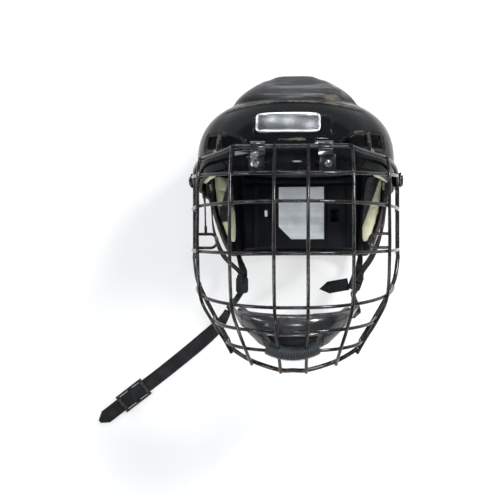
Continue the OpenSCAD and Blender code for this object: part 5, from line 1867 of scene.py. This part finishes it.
def turning(numbers, first, last, start=0, end=0):
    """How a strap's width turns along its length, from one direction to another."""
    span = numbers[-1] - end - start
    share = ease((numbers - start) / span)[:, None]
    return mix(np.asarray(first, float), np.asarray(last, float), share)


strap_frames = {}


def strap(name, node, body, path, wides, widths, sizes):
    piece = ribbon(name, path, wides, widths, sizes.webbing_t)
    stand_in(piece, node, body, "webbing", "webbing")
    half = np.broadcast_to(widths, len(path)) / 2
    strap_frames[name] = (path, *strap_frame(path, wides), run_along(path), half)


def moulded(node, name, body, bevel, segments, wear):
    """A piece of strap plastic in its node's place."""
    piece = refined(node, name, bevel, segments)
    store(piece, "wear", wear)
    dress(piece, body, "strap_plastic", "strap_plastic")


def on_strap(name, along, x, out):
    """Places on a strap: distance along it, share of its half width, and height over its middle."""
    *ways, run, half = strap_frames[name]
    place, across, up = (np.stack([np.interp(along, run, v[:, i]) for i in range(3)], -1) for v in ways)
    return place + across * (x * np.interp(along, run, half))[:, None] + up * out, across, up


FRONT_HANG = np.array([[0, 22, 112], [0, 11, 112], [2.3, -18, 109], [11.3, -44, 98]]) * MM
REAR_STRAP_S = 51.5
EDGE_SEAM = 0.82
# Section of an eyelet: distances from its middle and heights
EYELET = ((0, 0.35), (0.38, 0.35), (0.45, 0.75), (0.7, 0.95), (1, 0.7), (1, 0.1), (0, 0.1))


class HELMET_OT_harness(Step):
    """Harness webbing, its joiners, the punched tongue and the straps of the cage"""

    bl_idname = "helmet.harness"
    bl_label = "Harness"

    def make(self, context, sizes):
        for side, way in (("left", -1), ("right", 1)):
            self.front(side, way, sizes)
            self.rear(side, way, sizes)
            self.cage_strap(side, way, sizes)
            moulded(f"{side}_strap_joiner", f"joiner_{side}", "helmet", 2.2 * MM, 4, 0.1)
        self.cup_strap(sizes)
        moulded("right_tongue", "tongue_right", "helmet", 0.7 * MM, 3, 0.1)
        self.eyelets()

    def eyelets(self):
        """Blind eyelets in the tongue's two holes."""
        foot = JOINERS["right"][0] + np.array([-8, -2, -4]) * MM
        way = np.array([cosine(TONGUE_TURN), sine(TONGUE_TURN), 0])
        places = [foot + way * x * MM + np.array([0, 0, 1 * MM]) for x in (9, 18)]
        rings = [[(r * cosine(a), r * sine(a), z) for a in np.arange(0, 360, 15)] for r, z in EYELET]
        shape = new_piece("eyelet_shape", np.array(rings), grid_faces(len(EYELET), 24, closed=True))
        merged(shape, distance=TINY)
        piece = copies("eyelets_tongue", shape, places, [0, 0, 1], way, "strap_plastic", 2.4 * MM)
        dress(piece, "helmet", "strap_plastic")

    def front(self, side, way, sizes):
        j = JOINERS[side]
        x = half_width(np.array(EAR_Y)) - REAR_OFF - WALL - 2 * PLAY - sizes.webbing_t / 2
        hung = [np.array([way * (x - h[0]), h[1], h[2]]) for h in FRONT_HANG]
        ends = sewn(j, 1, 1, sizes.webbing_t)
        path, numbers = fine_path(hung + ends[:2], 4, tail=ends[2:])
        wides = turning(numbers, [0, 0, 1], -way * turned_to([1, 0, 0], j), 4, 6)
        width = sizes.webbing * HUNG_W
        strap(f"strap_front_{side}", f"{side}_front_strap", "helmet", path, wides, width, sizes)

    def rear(self, side, way, sizes):
        j = JOINERS[side]
        off = REAR_OFF + WALL + 1.1 * MM + PLAY + sizes.webbing_t / 2
        top = skin(rear_point, way * REAR_STRAP_S, NECK_Y + 18 * MM, off)
        edge = skin(rear_point, way * REAR_STRAP_S, NECK_Y + 2 * MM, off)
        along = skin(rear_point, way * (REAR_STRAP_S + 1), NECK_Y + 2 * MM, off) - edge
        ends = sewn(j, 1, -1, sizes.webbing_t)
        hung = [top, edge, mix(edge, ends[0], 0.55) + np.array([0, -2, -3]) * MM]
        path, numbers = fine_path(hung + ends[:2], 4, tail=ends[2:])
        wides = turning(numbers, unit(along) * way, turned_to([1, 0, 0], j), 5, 6)
        width = sizes.webbing * HUNG_W
        strap(f"strap_rear_{side}", f"{side}_rear_strap", "rear", path, wides, width, sizes)

    def cage_strap(self, side, way, sizes):
        points = np.array([[EYE_X + 4.4 * MM, EYE_Y + 9.5 * MM, EYE_Z - 1 * MM],
                           [HALF_CAGE - 15.5 * MM, -12 * MM, CAGE_BACK_Z + 46 * MM],
                           [HALF_CAGE - 11.5 * MM, 8 * MM, CAGE_BACK_Z + 12 * MM],
                           [HALF_CAGE - 7.5 * MM, 20 * MM, CAGE_BACK_Z - 10 * MM]]) * [way, 1, 1]
        path, _ = smooth_path(points, 12)
        wides = np.tile([0.0, 1, 0], (len(path), 1))
        width = sizes.webbing * CAGE_STRAP_W
        strap(f"strap_cage_{side}", f"{side}_cage_strap", "cage", path, wides, width, sizes)

    def cup_strap(self, sizes):
        j = JOINERS["right"]
        start = sewn(j, -1, 1, sizes.webbing_t)
        low, high = CUP[4], CUP[5]
        end = [(low[1] + high[1]) / 2, (low[0] + high[0]) / 2 + CUP_SMILE, CAGE_FRONT_Z - high[2] - 2 * MM]
        x = j[0][0]
        points = [start[1], start[0], [x, -97 * MM, 116 * MM], [x, -104 * MM, 162 * MM], end]
        path, numbers = fine_path(points, 4, head=[start[2]])
        wing = [high[1] - low[1], high[0] - low[0], 0]
        wides = turning(numbers, turned_to([1, 0, 0], j), unit(wing), 6)
        width = sizes.webbing * CUP_STRAP_W
        strap("strap_cup_right", "right_cup_strap", "helmet", path, wides, width, sizes)


# The loose strap on the floor, with its slider
LAY_Z = 2.6 * MM
STRAP_WAY = unit([-50, -38.5, 0])
LAST_BEND = np.array([-156, -177, 2.6]) * MM
SLIDER_RUN, STRAP_RUN, TIP_L, TIP_W = 45 * MM, 95 * MM, 9 * MM, 4 * MM
# The webbing that humps over the slider's bar: half length, height and width of its hump
HUMP_HALF, HUMP_H, HUMP_W = 13.4 * MM, 1.3 * MM, 6.5 * MM


class HELMET_OT_loose_strap(Step):
    """Chin strap that lies loose on the floor, with its pointed end and its slider"""

    bl_idname = "helmet.loose_strap"
    bl_label = "Loose strap"

    def make(self, context, sizes):
        j = JOINERS["left"]
        leave = unit([-4, -5, 0])
        foot = np.array([-3, -6.6, -(JOINER_T / 2 + PLAY + sizes.webbing_t / 2) / MM]) * MM
        laid = np.array([[-76, -99, 48], [-82, -109, 26], [-89, -119, 9], [-98, -128.5, 2.6],
                         [-116, -144.5, 2.6], [-136, -161, 2.6]]) * MM
        points = [on_joiner(foot + leave * 9 * MM, j), on_joiner(foot + leave * 13 * MM, j), *laid, LAST_BEND]
        end = LAST_BEND + STRAP_WAY * STRAP_RUN
        tail = [end - STRAP_WAY * TIP_L, end]
        path, numbers = fine_path(points, 3, head=[on_joiner(foot, j)], tail=tail)
        flat = [-STRAP_WAY[1], STRAP_WAY[0], 0]
        across = turned_to([leave[1], -leave[0], 0], j)
        wides = turning(numbers, across, flat, 4, 13)
        tip = np.clip(numbers[-1] - numbers, 0, 1)
        widths = mix(TIP_W, sizes.webbing * mix(0.42, 1, ease((numbers - 6) / 13)), tip)
        strap("strap_loose", "loose_strap", "helmet", path, wides, widths, sizes)
        self.slider(sizes)

    def slider(self, sizes):
        moulded("strap_slider", "slider", "slider", 0.9 * MM, 3, 0.45)
        at = LAST_BEND + STRAP_WAY * SLIDER_RUN
        reach = np.linspace(-HUMP_HALF, HUMP_HALF, 41)
        lift = sizes.webbing_t + 0.1 * MM + HUMP_H * hill(reach, HUMP_W)
        path = at + STRAP_WAY * reach[:, None]
        path[:, 2] = LAY_Z + lift
        wides = np.tile([-STRAP_WAY[1], STRAP_WAY[0], 0.0], (len(path), 1))
        hump = ribbon("slider_webbing", path, wides, sizes.webbing * 0.98, sizes.webbing_t)
        dress(hump, "slider", "webbing", "webbing")


class HELMET_OT_latches(Step):
    """Latch tabs of webbing that swing on the studs behind the temple clips"""

    bl_idname = "helmet.latches"
    bl_label = "Latch tabs"

    def make(self, context, sizes):
        for side in ("left", "right"):
            piece = refined(f"{side}_snap_tab", f"tab_{side}", 0.35 * MM, 2)
            uv = piece.data.uv_layers.new(name="Webbing")
            for loop in piece.data.loops:
                co = piece.data.vertices[loop.vertex_index].co
                uv.data[loop.index].uv = (co.y, co.z)
            dress(piece, f"{side}_latch", "webbing", "webbing")


def stitch_shape():
    """One stitch, a unit long: a small arched thread of a few faces."""
    sides, rings = 6, 5
    points = []
    for k in range(rings):
        u = -0.5 + k / (rings - 1)
        thick = 0.1 if k in (0, rings - 1) else 0.17
        for n in range(sides):
            way = 2 * math.pi * n / sides
            rise = 0.22 * (1 - (2 * u) ** 2) - 0.06
            points.append((u, thick * math.cos(way), rise + thick * math.sin(way)))
    return merged(new_piece("stitch_shape", points, tube_faces(rings, sides)), distance=TINY)


# Seams: strap, body, and where along the strap they lie
SEAMS = [
    ("strap_front_left", "helmet", "joiner"), ("strap_front_right", "helmet", "joiner"),
    ("strap_rear_left", "rear", "joiner"), ("strap_rear_right", "rear", "joiner"),
    ("strap_loose", "helmet", "start"), ("strap_cup_right", "helmet", "start"),
    ("strap_cage_left", "cage", "ends"), ("strap_cage_right", "cage", "ends")]
BOX_SEAM = 8 * MM


class HELMET_OT_stitching(Step):
    """Box seams of thread where the straps are sewn, one mesh for each body"""

    bl_idname = "helmet.stitching"
    bl_label = "Stitching"

    def make(self, context, sizes):
        made = {}
        for name, body, where in SEAMS:
            made.setdefault(body, []).append(self.seam(name, where, sizes))
        for body, parts in made.items():
            places, ups, runs = (np.vstack(v) for v in zip(*parts))
            piece = copies(f"stitches_{body}", stitch_shape(), places, ups, runs, "thread", sizes.stitch)
            dress(piece, body, "webbing")

    def seam(self, name, where, sizes):
        *_, run, halves = strap_frames[name]
        total = run[-1]
        spans = {"joiner": [(total - BOX_SEAM - 1 * MM, total - 1 * MM)],
                 "start": [(1 * MM, 1 * MM + BOX_SEAM)],
                 "ends": [(1.5 * MM, 7 * MM), (total - 8 * MM, total - 1.5 * MM)]}[where]
        places, ups, runs = [], [], []
        pitch = sizes.stitch * 1.12
        for start, end in spans:
            along = np.arange(start + pitch / 2, end, pitch)
            for x in (-EDGE_SEAM, EDGE_SEAM):
                self.row(name, along, np.full(len(along), x), "along", sizes, places, ups, runs)
            half = np.interp(start, run, halves) * EDGE_SEAM
            x = np.arange(-half + pitch / 2, half, pitch) / half * EDGE_SEAM
            for at in (start, end):
                self.row(name, np.full(len(x), at), x, "across", sizes, places, ups, runs)
        return np.vstack(places), np.vstack(ups), np.vstack(runs)

    def row(self, name, along, x, way, sizes, places, ups, runs):
        for face in (-1, 1):
            out = face * (sizes.webbing_t / 2 * 0.92)
            place, across, up = on_strap(name, along, x, out)
            ahead = np.cross(across, up)
            places.append(place)
            ups.append(up * face)
            runs.append(ahead if way == "along" else across)


# Registration
PIECES = (HELMET_OT_stage, HELMET_OT_front_shell, HELMET_OT_rear_shell, HELMET_OT_pads,
          HELMET_OT_plate_and_patch, HELMET_OT_hardware, HELMET_OT_cage, HELMET_OT_chin_cup,
          HELMET_OT_harness, HELMET_OT_loose_strap, HELMET_OT_latches, HELMET_OT_stitching)


class HELMET_PT_panel(Panel):
    """Lists the steps, sizes and colours of the dressing."""

    bl_idname = "HELMET_PT_panel"
    bl_label = "Hockey Helmet"
    bl_space_type = "VIEW_3D"
    bl_region_type = "UI"
    bl_category = "Helmet"

    def draw(self, context):
        for step in PIECES:
            self.layout.operator(step.bl_idname)
        for group in (context.scene.helmet_sizes, context.scene.helmet_colours):
            box = self.layout.box()
            for key in group.bl_rna.properties.keys():
                if key not in {"rna_type", "name"}:
                    box.prop(group, key)


CLASSES = (HelmetSizes, HelmetColours, *PIECES, HELMET_PT_panel)


def register():
    for kind in CLASSES:
        bpy.utils.register_class(kind)
    bpy.types.Scene.helmet_sizes = PointerProperty(type=HelmetSizes)
    bpy.types.Scene.helmet_colours = PointerProperty(type=HelmetColours)


def unregister():
    del bpy.types.Scene.helmet_colours
    del bpy.types.Scene.helmet_sizes
    for kind in reversed(CLASSES):
        bpy.utils.unregister_class(kind)


def main():
    register()
    for piece in PIECES:
        call = getattr(bpy.ops.helmet, piece.bl_idname.split(".")[1])
        if call() != {"FINISHED"}:
            raise RuntimeError("not finished: " + piece.bl_label)


if __name__ == "__main__":
    main()
